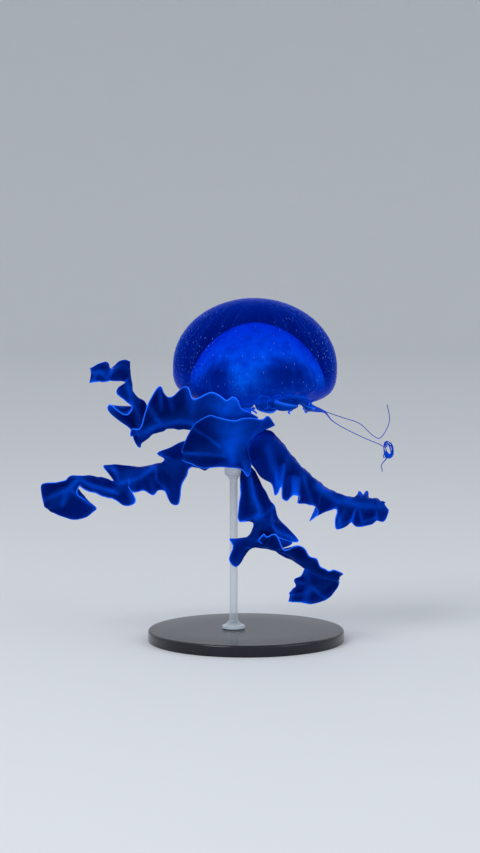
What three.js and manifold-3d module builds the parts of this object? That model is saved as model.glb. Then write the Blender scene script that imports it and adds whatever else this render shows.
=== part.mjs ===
// A life-size model of a mauve-stinger jellyfish on a plain display stand.
// Millimetres, +Z up, +Y away from the viewer of the front. The model's origin is the middle of the
// stand's underside. The animal itself is laid out from its mouth, the lowest point of the trunk:
// the bell rises above it, four frilled oral arms trail from it, and eight tentacles hang from the bell.
import * as THREE from "three";
import Module from "manifold-3d";

const wasm = await Module();
wasm.setup();

// ---- driving sizes ----------------------------------------------------------------------------
const GAP = 0.35; // clearance between neighbouring nodes
const CUT = 0.45; // width of the cut between two lengths of an arm
const MOUTH_HEIGHT = 106; // the mouth above the underside of the stand

const BELL = {
  centre: new THREE.Vector3(10.4, 0, 61.5), // the middle of the widest ring, from the mouth
  rollDeg: 2, // the crown leans a little to the right
  pitchDeg: 3, // the crown nods a little towards the front
  radius: 49.8,
  crown: 41.5, // height of the crown above the widest ring
  skirt: 23.5, // depth of the rounded edge under the widest ring
  skirtPower: 3.2, // how square that rounded edge is
  marginZ: -20.6, // where the lappets start
  lappets: 16,
  lappetLength: 6.5,
  lappetTuck: 3.4, // how far a lappet's tip leans inwards
  lappetThickness: 1.1,
};
const CAVITY = { radius: 41.6, floorZ: -13.5, height: 40.3, power: 1.8 }; // the hollow under the bell
const LIFT = { atDeg: 212, spreadDeg: 20, height: 11 }; // the rim drawn up over the upper left arm
const TRUNK = { lobes: 4, lobeDepth: 0.12 };
const SHEET = { edge: 0.75, rib: 2.4, foldSoftness: 0.34 }; // thicknesses of an arm's veil and rib
const DROOP = 0.07; // how far an arm sinks for each millimetre it is carried back
const STAND = { radius: 60, thickness: 7, bevel: 1.5, rod: 2.4, socket: 5.5, socketHeight: 5 };

// ---- small helpers ----------------------------------------------------------------------------
const vec = (p) => new THREE.Vector3(p[0], p[1], p[2]);
const radians = THREE.MathUtils.degToRad;
const spread = (count, make) => Array.from({ length: count }, (_, i) => make(i));

// One closed surface through a row of rings with the same number of points each.
// caps is "fan", which closes an end with a cone to its pole, by default its middle, or "strip", which
// zips a flat ring shut.
function closedSkin(rings, caps, poles = []) {
  const size = rings[0].length;
  const points = rings.flat();
  const index = [];
  const at = (ring, k) => ring * size + (k % size);
  for (let r = 0; r + 1 < rings.length; r += 1) {
    for (let k = 0; k < size; k += 1) {
      index.push(at(r, k), at(r, k + 1), at(r + 1, k + 1));
      index.push(at(r, k), at(r + 1, k + 1), at(r + 1, k));
    }
  }
  [0, rings.length - 1].forEach((ring, end) => {
    const put = (a, b, c) => (end === 0 ? index.push(a, c, b) : index.push(a, b, c));
    if (caps === "fan") {
      const middle = points.length;
      const sum = rings[ring].reduce((total, p) => total.add(p), new THREE.Vector3());
      points.push(poles[end] ?? sum.divideScalar(size));
      for (let k = 0; k < size; k += 1) put(at(ring, k), at(ring, k + 1), middle);
      return;
    }
    for (let k = 0; k + 1 < size / 2; k += 1) {
      put(at(ring, k), at(ring, k + 1), at(ring, size - 2 - k));
      put(at(ring, k), at(ring, size - 2 - k), at(ring, size - 1 - k));
    }
  });
  return facingOut(points, index);
}

// The geometry of those triangles, turned round if they enclose a negative volume.
function facingOut(points, index) {
  let volume = 0;
  for (let i = 0; i < index.length; i += 3) {
    const [a, b, c] = [points[index[i]], points[index[i + 1]], points[index[i + 2]]];
    volume += a.dot(new THREE.Vector3().crossVectors(b, c));
  }
  const order = volume < 0 ? index.toReversed() : index;
  const geometry = new THREE.BufferGeometry().setFromPoints(points);
  geometry.setIndex(order);
  geometry.computeVertexNormals();
  return geometry;
}

// A closed geometry as a solid for cutting, moved by a matrix when one is given.
function solid(geometry, matrix = new THREE.Matrix4()) {
  const places = new Map();
  const corners = [];
  const position = geometry.attributes.position;
  const merged = spread(position.count, (i) => {
    const p = new THREE.Vector3().fromBufferAttribute(position, i).applyMatrix4(matrix);
    const key = p.toArray().map((x) => Math.round(x * 1e5)).join();
    if (!places.has(key)) places.set(key, corners.push(p) - 1);
    return places.get(key);
  });
  const index = Array.from(geometry.index.array, (i) => merged[i]);
  const faces = spread(index.length / 3, (i) => index.slice(3 * i, 3 * i + 3)).filter((f) => new Set(f).size === 3);
  const mesh = new wasm.Mesh({
    numProp: 3,
    vertProperties: new Float32Array(corners.flatMap((p) => p.toArray())),
    triVerts: new Uint32Array(faces.flat()),
  });
  return new wasm.Manifold(mesh);
}

// What is left of a body when a neighbour, with the clearance round it, is cut away.
function clearOf(body, neighbour) {
  const signs = [-1, 0, 1];
  const ways = signs.flatMap((x) => signs.flatMap((y) => signs.map((z) => new THREE.Vector3(x, y, z))));
  return ways.reduce((left, way) => left.subtract(neighbour.translate(way.setLength(GAP).toArray())), body);
}

function geometryOf(body) {
  const largest = body.decompose().reduce((a, b) => (a.volume() > b.volume() ? a : b));
  const mesh = largest.getMesh();
  const geometry = new THREE.BufferGeometry();
  geometry.setAttribute("position", new THREE.BufferAttribute(new Float32Array(mesh.vertProperties), 3));
  geometry.setIndex(new THREE.BufferAttribute(new Uint32Array(mesh.triVerts), 1));
  geometry.computeVertexNormals();
  return geometry;
}

// A smooth curve through points, read at a station number from 0 to points.length - 1.
function stationCurve(points) {
  const curve = new THREE.CatmullRomCurve3(points.map(vec), false, "catmullrom", 0.5);
  return (station) => curve.getPoint(THREE.MathUtils.clamp(station / (points.length - 1), 0, 1));
}

// ---- materials --------------------------------------------------------------------------------
const jelly = (color, opacity) =>
  new THREE.MeshStandardMaterial({ color, roughness: 0.25, metalness: 0, transparent: true, opacity });
const MATERIALS = {
  bell: jelly(0x0a2fb4, 0.6),
  trunk: jelly(0x0a45e0, 0.85),
  veil: jelly(0x0c3cc8, 0.6),
  gonad: jelly(0x2a66ff, 0.9),
  tentacle: jelly(0x2f63ff, 0.85),
  stand: new THREE.MeshStandardMaterial({ color: 0x14161c, roughness: 0.3, metalness: 0 }),
  rod: new THREE.MeshStandardMaterial({ color: 0xb9c4d0, roughness: 0.12, metalness: 0 }),
};

// ---- the bell ---------------------------------------------------------------------------------
const BELL_SEGMENTS = 64;
const CROWN_RINGS = 6;
const SKIRT_RINGS = 3;
const CAVITY_RINGS = 5;

// Half-width of the bell's outside at a height from its widest ring.
function outerRadius(z) {
  if (z >= 0) return BELL.radius * Math.sqrt(Math.max(0, 1 - (z / BELL.crown) ** 2));
  return BELL.radius * (1 - (-z / BELL.skirt) ** BELL.skirtPower) ** (1 / BELL.skirtPower);
}

// The roof of the hollow at a turn from its rim, 0, to its top, a quarter turn.
const roofRadius = (turn, inset = 0) => (CAVITY.radius - inset) * Math.max(0, Math.cos(turn)) ** (2 / CAVITY.power);
const roofHeight = (turn, inset = 0) => CAVITY.floorZ + (CAVITY.height - inset) * Math.sin(turn) ** (2 / CAVITY.power);

// How far a lappet reaches at this angle: 1 at its middle and 0 in the notch beside it.
function lappetReach(angle) {
  return Math.abs(Math.sin((angle * BELL.lappets) / 2)) ** 0.7;
}

// How far the rim is drawn up where the upper left arm leaves, at an angle and a height.
function rimLift(angle, z) {
  const turn = Math.atan2(Math.sin(angle - radians(LIFT.atDeg)), Math.cos(angle - radians(LIFT.atDeg)));
  const low = THREE.MathUtils.smoothstep(-z, 6, -BELL.marginZ);
  return LIFT.height * low * Math.exp(-((turn / radians(LIFT.spreadDeg)) ** 2));
}

function bellGeometry() {
  const ring = (radius, z) =>
    spread(BELL_SEGMENTS, (k) => {
      const angle = (2 * Math.PI * k) / BELL_SEGMENTS;
      const height = z(angle) + rimLift(angle, z(angle));
      return new THREE.Vector3(radius(angle) * Math.cos(angle), radius(angle) * Math.sin(angle), height);
    });
  const flat = (radius, z) => ring(() => radius, () => z);
  const marginRadius = outerRadius(BELL.marginZ);
  // Where the rim is drawn up its lappets are drawn in as well.
  const reach = (angle) => lappetReach(angle) * (1 - (0.8 * rimLift(angle, BELL.marginZ)) / LIFT.height);
  const lappet = (inset) =>
    ring(
      (angle) => marginRadius - inset - BELL.lappetTuck * reach(angle),
      (angle) => BELL.marginZ - BELL.lappetLength * reach(angle) - 0.6,
    );
  const rings = [];
  for (let i = 1; i <= CROWN_RINGS; i += 1) {
    const turn = (i / CROWN_RINGS) * (Math.PI / 2);
    rings.push(flat(BELL.radius * Math.sin(turn), BELL.crown * Math.cos(turn)));
  }
  for (let i = 1; i <= SKIRT_RINGS; i += 1) {
    const z = BELL.marginZ * Math.sin(((i / SKIRT_RINGS) * Math.PI) / 2);
    rings.push(flat(outerRadius(z), z));
  }
  rings.push(lappet(0), lappet(BELL.lappetThickness));
  rings.push(flat(marginRadius - 1.9, BELL.marginZ));
  rings.push(flat(CAVITY.radius - 1.8, CAVITY.floorZ - 3.6));
  for (let i = 0; i < CAVITY_RINGS; i += 1) {
    const turn = (i / CAVITY_RINGS) * (Math.PI / 2);
    rings.push(flat(roofRadius(turn), roofHeight(turn)));
  }
  const poles = [BELL.crown, CAVITY.floorZ + CAVITY.height].map((z) => new THREE.Vector3(0, 0, z));
  return closedSkin(rings, "fan", poles);
}

// ---- the trunk, from the roof of the hollow down to the mouth -----------------------------------
// Each step is [height above the mouth, radius, sideways lean].
const TRUNK_STEPS = [
  [86, 17, 9],
  [81, 11, 7],
  [74, 8, 5.5],
  [60, 6.5, 3],
  [44, 6, 1.5],
  [31, 6, 1],
  [22, 7, -1],
  [15, 7.4, -2.4],
  [9, 5, -2.6],
  [4, 4.2, -2.6],
  [1, 3, -2.6],
];
const TRUNK_SIDES = 12;

// swell widens it, for cutting neighbours clear of it.
function trunkGeometry(swell = 0) {
  const rings = TRUNK_STEPS.map(([z, radius, lean]) =>
    spread(TRUNK_SIDES, (k) => {
      const angle = (2 * Math.PI * k) / TRUNK_SIDES;
      const r = radius * (1 + TRUNK.lobeDepth * Math.cos(TRUNK.lobes * angle)) + swell;
      return new THREE.Vector3(lean + r * Math.cos(angle), r * Math.sin(angle), z);
    }),
  );
  return closedSkin(rings, "fan");
}

// The space under the roof of the hollow, drawn in by the clearance, with a long skirt below it.
function underRoofGeometry() {
  const turns = spread(6, (i) => (i / 5) * (Math.PI / 2) * 0.96);
  const profile = [
    [0, -90], [CAVITY.radius - 1, -90],
    ...turns.map((turn) => [roofRadius(turn, GAP + 0.6), roofHeight(turn, GAP + 0.6)]),
    [0, CAVITY.floorZ + CAVITY.height - GAP - 0.6],
  ];
  const geometry = new THREE.LatheGeometry(profile.map(([r, z]) => new THREE.Vector2(r, z)), TRUNK_SIDES);
  return geometry.rotateX(Math.PI / 2);
}

// ---- oral arms --------------------------------------------------------------------------------
// An arm is a folded veil: a thick smooth rib with a thin frilled wing on either side of it.
// rib holds the rib's places from the mouth, one a station. Each wing is its free edge, as turning
// points [station, x, y, z]: between two of them the edge runs smoothly. cuts are where the arm is
// divided into lengths, ripple is the fine crimping of both free edges, and sweep is how far back the
// whole arm is carried for each millimetre it reaches to the side.
const ARMS = {
  arm_upper_left: {
    rib: [
      [-9, -9, 14], [-19.5, -12, 22], [-29, -15, 27.5], [-39, -18, 28], [-48.5, -21, 25], [-57, -23, 18.5],
      [-60.5, -22, 27.5], [-58.5, -20, 40], [-62.5, -18, 50.5], [-64.5, -17, 60], [-69, -16, 63.5],
      [-77.5, -14, 59.5], [-87.5, -13, 58],
    ],
    wings: [
      [
        [0, 12.5, -12, 31], [0.4, 4.5, -14, 35.5], [0.75, 0.5, -16, 42.5], [1, -5.5, -17, 41], [1.5, -18, -18, 46],
        [1.8, -25.5, -25, 42], [2.05, -29.5, -33, 51], [2.75, -39.5, -26, 44.5], [3.25, -43.5, -29, 46.5],
        [3.6, -46, -30, 51], [4, -51, -31, 44.5], [4.5, -53.5, -32, 37], [5, -57.5, -31, 26.5],
        [5.4, -63, -27, 25], [5.7, -63, -24, 20.5], [6, -54.5, -16, 26.5], [7, -54.5, -14, 39],
        [8, -62.5, -14, 47], [9, -64, -13, 62.5], [9.5, -65.5, -14, 65.5], [10, -70, -13, 66],
        [10.7, -76, -9, 60.5], [11, -78.5, -12, 65], [12, -88.5, -12, 61],
      ],
      [
        [0, -4.5, 2, 8.5], [1, -17.5, -2, 16.5], [2, -28.5, -6, 22.5], [3, -39.5, -10, 24], [4, -48, -14, 22],
        [5, -56.5, -18, 17], [5.4, -58.5, -21, 13.5], [5.7, -61.5, -22, 17.5], [6, -63.5, -22, 24.5],
        [6.6, -75, -23, 37.5], [6.9, -69.5, -29, 34], [7.2, -64, -31, 33.5], [7.5, -61, -28, 38],
        [7.75, -66.5, -24, 42], [8, -72, -21, 46], [8.25, -71.5, -18, 49.5], [8.6, -67.5, -16, 52.5],
        [10, -74.5, -20, 53.5], [12, -88.5, -16, 52.5],
      ],
    ],
    sweep: -0.08,
    ripple: { waves: 11, size: 0.7 },
    cuts: [3, 7.9],
  },
  arm_left: {
    rib: [
      [-15.5, 6, 4.5], [-26.5, 9, 3], [-37.5, 10, 2.5], [-48.5, 9, 1.5], [-59.5, 7, -1.5], [-68.5, 4, -6],
      [-74, 1, -13], [-81, -1, -16], [-90.5, -3, -12.5], [-99.5, -4, -8], [-107.5, -4, -12.5], [-113, -4, -20],
      [-117.5, -6, -26],
    ],
    wings: [
      [
        [0, -19, 9, 11], [1, -31.5, 14, 15.5], [1.5, -42.5, 18, 11], [1.9, -50.5, 20, 6.5], [2.3, -46, 17, 3.5],
        [3, -52, 14, 0.5], [3.5, -59.5, 13, -0.5], [4.6, -79.5, 12, 0.5], [5, -84, 11, 0], [5.3, -81.5, 7, -3],
        [5.7, -77.5, 5, -8.5], [6.3, -79, 7, -8.5], [7, -85, 5, -6.5], [8, -92, 3, -5.5], [8.7, -99, 0, -5],
        [9.2, -104, -4, -5.5], [9.7, -107.5, -9, -8.5], [10.7, -119.5, -11, -9.5], [11.2, -121.5, -9, -14],
        [12, -120, -6, -24.5],
      ],
      [
        [0, -20, -4, -1], [1, -30.5, -7, 0.5], [1.5, -33.5, -8, -4.5], [2, -37, -9, -10.5], [2.2, -36, -8, -17],
        [2.45, -37, -5, -22.5], [2.7, -41.5, -1, -22], [2.9, -44, 1, -15.5], [3.25, -48.5, -6, -13.5],
        [3.6, -52, -9, -16], [4, -57.5, -6, -14], [4.5, -63.5, -9, -14.5], [4.8, -67.5, -6, -11.5],
        [5.25, -62.5, -12, -19.5], [5.5, -65.5, -12, -22.5], [5.8, -70.5, -9, -22.5], [6.2, -74.5, -6, -20],
        [7, -80.5, -7, -17.5], [8, -91.5, -9, -14], [8.6, -97.5, -8, -11], [9.1, -98.5, -10, -17],
        [9.7, -87, -14, -23], [10.1, -88.5, -15, -26.5], [10.6, -94, -14, -30], [11.2, -102.5, -11, -31.5],
        [12, -115, -8, -27.5],
      ],
    ],
    sweep: 0.2,
    ripple: { waves: 10, size: 0.7 },
    cuts: [3.1, 6.5, 8.4],
  },
  arm_lower: {
    rib: [
      [5.5, -4, -5], [7, -10, -15.5], [10.5, -15, -26], [12, -19, -34.5], [7.5, -23, -42], [7.5, -25, -44],
      [18.5, -27, -44], [27.5, -28, -47], [37.5, -27, -53], [47.5, -25, -60], [58.5, -21, -64.5],
      [54.5, -14, -70.5], [44, -10, -74.5], [31.5, -8, -77.5],
    ],
    wings: [
      [
        [0, 10, 2, -2.5], [1, 16.5, 0, -14.5], [1.5, 19.5, -3, -20.5], [1.8, 22.5, -6, -23], [2.05, 24.5, -8, -30.5],
        [2.3, 30.5, -17, -36], [2.55, 36.5, -24, -42.5], [2.8, 30, -25, -38], [3.1, 21.5, -23, -35],
        [3.35, 18.5, -13, -32], [3.6, 21.5, -8, -37], [3.8, 28, -7, -43], [4.05, 32.5, -9, -46.5],
        [4.4, 23, -17, -46], [4.8, 13, -33, -41.5], [5.05, 15.5, -35, -36], [5.25, 17.5, -36, -38],
        [5.6, 21.5, -37, -36], [5.85, 24, -37, -37.5], [6.2, 27.5, -37, -45], [6.5, 30.5, -36, -45.5],
        [6.8, 34, -38, -43], [7.2, 39, -37, -43.5], [7.8, 43, -35, -50], [8.3, 47, -36, -50.5],
        [8.7, 49.5, -33, -56], [9.2, 54, -33, -58.5], [9.6, 58, -30, -58], [10, 63, -23, -62],
        [10.4, 56, -15, -64.5], [10.7, 46.5, -9, -64], [11, 42, -12, -57], [11.3, 38.5, -8, -65],
        [11.7, 34, -3, -68.5], [12.2, 35, -2, -72.5], [13, 31, -4, -76],
      ],
      [
        [0, 1.5, -10, -1], [1, 1, -16, -14], [2, 0, -22, -29.5], [2.3, 3.5, -26, -30.5], [2.7, 9, -20, -30.5],
        [3, 9, -16, -35.5], [3.3, 7, -18, -40], [3.6, 1.5, -24, -42], [3.9, -5, -28, -40.5], [4.1, -3, -31, -44.5],
        [4.4, -5.5, -33, -52], [4.7, -1.5, -31, -57], [4.95, 2, -28, -53], [5.2, 4, -26, -48.5],
        [5.45, 7.5, -24, -45.5], [5.8, 15, -22, -45], [6.2, 21, -22, -46], [7, 27.5, -22, -48.5],
        [8, 37.5, -22, -54.5], [9, 47.5, -21, -61.5], [10, 59, -20, -65.5], [10.4, 61, -16, -70],
        [11, 57.5, -12, -76], [11.6, 53, -11, -80], [12.1, 44.5, -12, -82], [12.6, 38, -14, -80.5],
        [13, 30.5, -14, -79.5],
      ],
    ],
    sweep: 0,
    ripple: { waves: 11, size: 0.6 },
    cuts: [3.35, 6.35, 10.05],
  },
  arm_right: {
    rib: [
      [9, 8, 15.5], [17.5, 10, 18.5], [27, 11, 13.5], [35, 11, 3], [43.5, 10, -5.5], [52.5, 8, -13.5],
      [62.5, 5, -17.5], [73, 2, -19.5], [81.5, -1, -19.5], [89, -3, -22],
    ],
    wings: [
      [
        [0, 9, 12, 21], [1, 20, 14, 21], [2, 29, 16, 11], [3, 37, 16, 1], [4, 45.5, 15, -7], [5, 54.5, 13, -14],
        [6, 65.5, 11, -19.5], [6.8, 75, 9, -20], [7.05, 75.5, 9, -16], [7.25, 78, 8, -19], [7.5, 80.5, 9, -16],
        [7.75, 81, 6, -20], [8.3, 87, 4, -21], [8.6, 89.5, 2, -23.5], [9, 91.5, 0, -22.5],
      ],
      [
        [0, 6, 2, 7.5], [0.6, 8, -4, 2.5], [1.1, 14, -8, -5.5], [1.5, 20, -10, -9], [1.75, 22, -12, -16],
        [2, 24.5, -15, -14.5], [2.2, 26.5, -13, -10.5], [2.45, 26.5, -9, -18], [2.7, 29.5, -5, -20.5],
        [2.95, 31.5, -8, -19], [3.1, 34, -13, -16], [3.3, 37.5, -9, -18], [3.5, 36, -4, -22], [3.9, 41, -2, -22.5],
        [4.3, 46, -6, -23.5], [4.6, 48.5, -10, -25.5], [4.85, 47.5, -13, -28.5], [5, 43.5, -12, -31.5],
        [5.3, 50, -6, -29], [5.7, 57, -2, -26.5], [6.1, 60.5, -7, -26], [6.35, 59, -11, -32], [6.6, 60, -13, -37],
        [6.9, 65.5, -10, -36], [7.15, 69.5, -5, -34], [7.4, 72.5, -10, -36], [7.7, 77, -12, -35.5],
        [8, 82, -8, -35], [8.25, 85.5, -5, -33], [8.6, 90, -9, -33], [8.8, 92, -9, -29.5], [9, 93, -7, -26.5],
      ],
    ],
    sweep: 0.2,
    ripple: { waves: 10, size: 0.7 },
    cuts: [2.9, 6.1],
  },
  lip_front: {
    rib: [[12.5, -13, 22], [1.5, -14, 14], [-10.5, -15, 10.5], [-22.5, -16, 9], [-32, -17, 8]],
    wings: [
      [
        [0, 22.5, -20, 26.5], [0.25, 18.5, -24, 32.5], [0.5, 15, -25, 31], [1, 6.5, -26, 31.5], [1.5, -2, -28, 30.5],
        [2, -12.5, -28, 32], [2.4, -18, -27, 33], [3, -25, -24, 28.5], [3.5, -30.5, -21, 20], [4, -34, -18, 11],
      ],
      [
        [0, 10.5, -12, 19.5], [0.5, 6, -10, 12.5], [0.9, 8.5, -13, 3.5], [1.1, 6.5, -16, -4], [1.4, 2.5, -20, 0.5],
        [2, -9, -22, 2.5], [2.5, -17.5, -22, 1.5], [3, -24, -22, 2.5], [4, -33.5, -18, 6],
      ],
    ],
    sweep: 0,
    ripple: { waves: 4, size: 0.8 },
    cuts: [],
  },
  lip_back: {
    rib: [[-14, 12, 15], [-6, 14, 12], [3, 15, 10], [11, 15, 11], [17, 14, 13]],
    wings: [
      [
        [0, -20, 16, 25], [0.6, -15, 20, 30], [1.2, -7, 24, 29], [1.8, 1, 27, 32], [2.4, 8, 26, 29.5],
        [3, 14, 23, 27], [4, 19, 18, 18],
      ],
      [
        [0, -13, 11, 9], [0.8, -9, 13, 3], [1.6, -2, 17, 1], [2.4, 6, 21, 2.5], [3.2, 13, 20, 4], [4, 18, 15, 9],
      ],
    ],
    sweep: 0,
    ripple: { waves: 4, size: 0.8 },
    cuts: [],
  },
};
const WING_STEPS = 3; // from the rib to either free edge
const STATION_STEP = { most: 0.5, least: 0.17 }; // spacing of the cross-sections along an arm
const LENGTH_NAMES = ["root", "middle", "fore", "tip"];

// Rises from 0 at the other wing's edge to 1 at this one's, with a soft fold at the rib.
function wingShare(v) {
  const e = SHEET.foldSoftness;
  return (v + Math.hypot(v, e) + 1 - Math.hypot(1, e)) / 2;
}

// A free edge read at a station number: its turning points need not be evenly spaced.
function edgeCurve(turns) {
  const curve = stationCurve(turns.map((t) => t.slice(1)));
  return (station) => {
    const next = Math.max(1, turns.findIndex((t) => t[0] >= station));
    const [before, after] = [turns[next - 1][0], turns[next][0]];
    return curve(next - 1 + (station - before) / (after - before));
  };
}

// The veil's inner face: station runs along the rib, and v from -1 at one free edge to 1 at the other.
function veilSurface(arm) {
  const swept = ([x, y, z]) => [x, y + arm.sweep * Math.abs(x), z - DROOP * arm.sweep * Math.abs(x)];
  const rib = stationCurve(arm.rib.map(swept));
  const edges = arm.wings.map((turns) => edgeCurve(turns.map(([station, ...p]) => [station, ...swept(p)])));
  const last = arm.rib.length - 1;
  return (place, v) => {
    const station = THREE.MathUtils.clamp(place, 0, last);
    const point = rib(station);
    const along = rib(Math.min(last, station + 0.05)).sub(rib(Math.max(0, station - 0.05))).normalize();
    const start = point.clone();
    edges.forEach((edge, i) => {
      const side = i === 0 ? 1 : -1;
      const reach = edge(station).sub(start);
      const across = new THREE.Vector3().crossVectors(along, reach).normalize();
      const share = wingShare(side * v);
      const crimp = arm.ripple.size * Math.max(0, side * v) ** 2;
      point.addScaledVector(reach, share);
      point.addScaledVector(across, crimp * Math.sin((2 * Math.PI * arm.ripple.waves * station) / last + side));
    });
    return point;
  };
}

// Where the cross-sections of a length stand: on the turning points, with more between distant ones.
function sectionStations(arm, from, to) {
  const wanted = [...arm.wings.flat().map((t) => t[0]), ...arm.rib.keys()].filter((s) => s > from && s < to);
  const kept = [from];
  wanted.sort((a, b) => a - b).forEach((s) => {
    if (s - kept.at(-1) > STATION_STEP.least && to - s > STATION_STEP.least) kept.push(s);
  });
  kept.push(to);
  return kept.flatMap((s, i) => {
    if (i === 0) return [s];
    const parts = Math.ceil((s - kept[i - 1]) / STATION_STEP.most);
    return spread(parts, (k) => kept[i - 1] + ((s - kept[i - 1]) * (k + 1)) / parts);
  });
}

// The closed solid of a veil between two stations, thickest at the rib and thickened on its outer side.
function veilGeometry(arm, from, to) {
  const surface = veilSurface(arm);
  const h = 0.02;
  const outwards = (station, v) => {
    const along = surface(station + h, v).sub(surface(station - h, v));
    const across = surface(station, v + h).sub(surface(station, v - h));
    return along.cross(across).normalize();
  };
  const rings = sectionStations(arm, from, to).map((station) => {
    const inner = spread(2 * WING_STEPS + 1, (k) => surface(station, k / WING_STEPS - 1));
    const outer = inner.map((p, k) => {
      const v = k / WING_STEPS - 1;
      const thickness = SHEET.edge + (SHEET.rib - SHEET.edge) * (1 - Math.abs(v)) ** 2;
      return p.clone().addScaledVector(outwards(station, v), thickness);
    });
    return [...inner, ...outer.toReversed()];
  });
  return closedSkin(rings, "strip");
}

// ---- tentacles --------------------------------------------------------------------------------
// A closed round thread along a curve, tapering from one radius to another.
function threadGeometry(path, from, to, steps, sides) {
  const frames = path.computeFrenetFrames(steps, false);
  const rings = spread(steps + 1, (i) => {
    const share = i / steps;
    const radius = from + (to - from) * share;
    const centre = path.getPoint(share);
    return spread(sides, (k) => {
      const angle = (2 * Math.PI * k) / sides;
      return centre
        .clone()
        .addScaledVector(frames.normals[i], radius * Math.cos(angle))
        .addScaledVector(frames.binormals[i], radius * Math.sin(angle));
    });
  });
  return closedSkin(rings, "fan");
}

const TENTACLES = { count: 8, sides: 5, rootRadius: 1.8, tipRadius: 0.7, rootRing: 30.5, length: 13, curls: 1.1 };
// The two tentacles that are let out, each as points from the bell's centre.
const LONG_TENTACLES = {
  0: [
    [34.3, 0, -23.8], [38, 0, -25], [43.6, -0.5, -26.5], [48, -4, -31], [56, -5, -35.5], [68.5, -5, -41], [76.5, -5, -44],
    [81, -4, -46], [84, -2, -43.5], [86, -1, -47.5], [84, -2, -51.5], [80, -3, -52.5],
  ],
  1: [
    [24.2, 24.2, -23.8], [27, 27, -25], [38, 22, -25.5], [46, 18, -28.5], [55, 15, -31], [65.5, 12, -34], [73.5, 9, -40.5],
    [78, 7, -42], [81.5, 6, -37], [83.5, 6, -30], [81.5, 5, -21],
  ],
};
const LONG_RADIUS = { root: 1, tip: 0.4 };

// A drawn-in tentacle: a short curl that droops from the margin and winds as it tapers.
function curlPath(index) {
  const angle = (2 * Math.PI * index) / TENTACLES.count;
  const turn = index % 2 ? 1 : -1;
  return new THREE.CatmullRomCurve3(
    spread(9, (i) => {
      const share = i / 8;
      const wind = turn * share * TENTACLES.curls * 2 * Math.PI;
      const swing = 3.2 * Math.sin(wind) * share ** 0.5;
      const radius = TENTACLES.rootRing + 2 * Math.cos(wind) * share;
      return new THREE.Vector3(
        radius * Math.cos(angle) - swing * Math.sin(angle),
        radius * Math.sin(angle) + swing * Math.cos(angle),
        BELL.marginZ - 1 - TENTACLES.length * share * (0.75 + 0.1 * (index % 3)),
      );
    }),
  );
}

// ---- gonads -----------------------------------------------------------------------------------
const GONADS = { count: 4, radius: 2.3, ring: 22, spanDeg: 62, drop: 6.2, dip: 5 };

// A horseshoe that follows the roof of the hollow round one quarter of the trunk.
function gonadPath(index) {
  return new THREE.CatmullRomCurve3(
    spread(7, (i) => {
      const side = i / 3 - 1;
      const angle = Math.PI / 4 + (index * Math.PI) / 2 + side * radians(GONADS.spanDeg / 2);
      const ring = GONADS.ring - GONADS.dip * side * side;
      const roof = roofHeight(Math.acos((ring / CAVITY.radius) ** (CAVITY.power / 2)));
      return new THREE.Vector3(ring * Math.cos(angle), ring * Math.sin(angle), roof - GONADS.drop);
    }),
  );
}

// ---- the stand --------------------------------------------------------------------------------
function standBase() {
  const { radius, thickness, bevel } = STAND;
  const profile = [[0, 0], [radius, 0], [radius, thickness - bevel], [radius - bevel, thickness], [0, thickness]];
  const geometry = new THREE.LatheGeometry(profile.map(([r, z]) => new THREE.Vector2(r, z)), 48);
  return geometry.rotateX(Math.PI / 2);
}

// The rod with its foot ring and the small cup that holds the mouth.
function standRod(height) {
  const { rod, socket, socketHeight } = STAND;
  const foot = 7;
  const profile = [
    [0, 0], [foot, 0], [foot, 2], [foot - 1.5, 4], [rod, 6],
    [rod, height - socketHeight - 3], [socket, height - socketHeight], [socket, height], [0, height],
  ];
  const geometry = new THREE.LatheGeometry(profile.map(([r, z]) => new THREE.Vector2(r, z)), 16);
  return geometry.rotateX(Math.PI / 2);
}

// ---- assembly ---------------------------------------------------------------------------------
const animal = new THREE.Group();
const bell = new THREE.Group();

function node(parent, name, geometry, material) {
  const mesh = new THREE.Mesh(geometry, material);
  mesh.name = name;
  parent.add(mesh);
  return mesh;
}

bell.position.copy(BELL.centre);
bell.rotation.set(radians(BELL.pitchDeg), radians(BELL.rollDeg), 0);
animal.add(bell);
node(bell, "bell", bellGeometry(), MATERIALS.bell);
bell.updateMatrix();
const underRoof = solid(underRoofGeometry(), bell.matrix);
const trunk = solid(trunkGeometry()).intersect(underRoof);
const roundTrunk = solid(trunkGeometry(GAP));
node(animal, "trunk", geometryOf(trunk), MATERIALS.trunk);
spread(GONADS.count, (i) =>
  node(bell, `gonad_${i + 1}`, threadGeometry(gonadPath(i), GONADS.radius, GONADS.radius, 7, 5), MATERIALS.gonad),
);

Object.entries(ARMS).forEach(([name, arm]) => {
  const last = arm.rib.length - 1;
  const ends = [0, ...arm.cuts, last];
  const surface = veilSurface(arm);
  // Half of the gap at a cut, in stations, where the veil moves slowest along the arm.
  const halfGap = (station) => {
    const speeds = [-1, -0.5, 0, 0.5, 1].map((v) => surface(station + 0.05, v).distanceTo(surface(station - 0.05, v)));
    return (0.05 * CUT) / Math.min(...speeds);
  };
  let before = null;
  spread(ends.length - 1, (i) => {
    const from = ends[i] + (i > 0 ? halfGap(ends[i]) : 0);
    const to = ends[i + 1] - (i + 2 < ends.length ? halfGap(ends[i + 1]) : 0);
    const label = arm.cuts.length ? `${name}_${i === arm.cuts.length ? "tip" : LENGTH_NAMES[i]}` : name;
    const veil = veilGeometry(arm, from, to);
    let body = solid(veil);
    if (i === 0) body = body.subtract(roundTrunk);
    else if (body.minGap(before, GAP) < 0.7 * GAP) body = clearOf(body, before);
    node(animal, label, geometryOf(body), MATERIALS.veil);
    before = body;
  });
});

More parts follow.
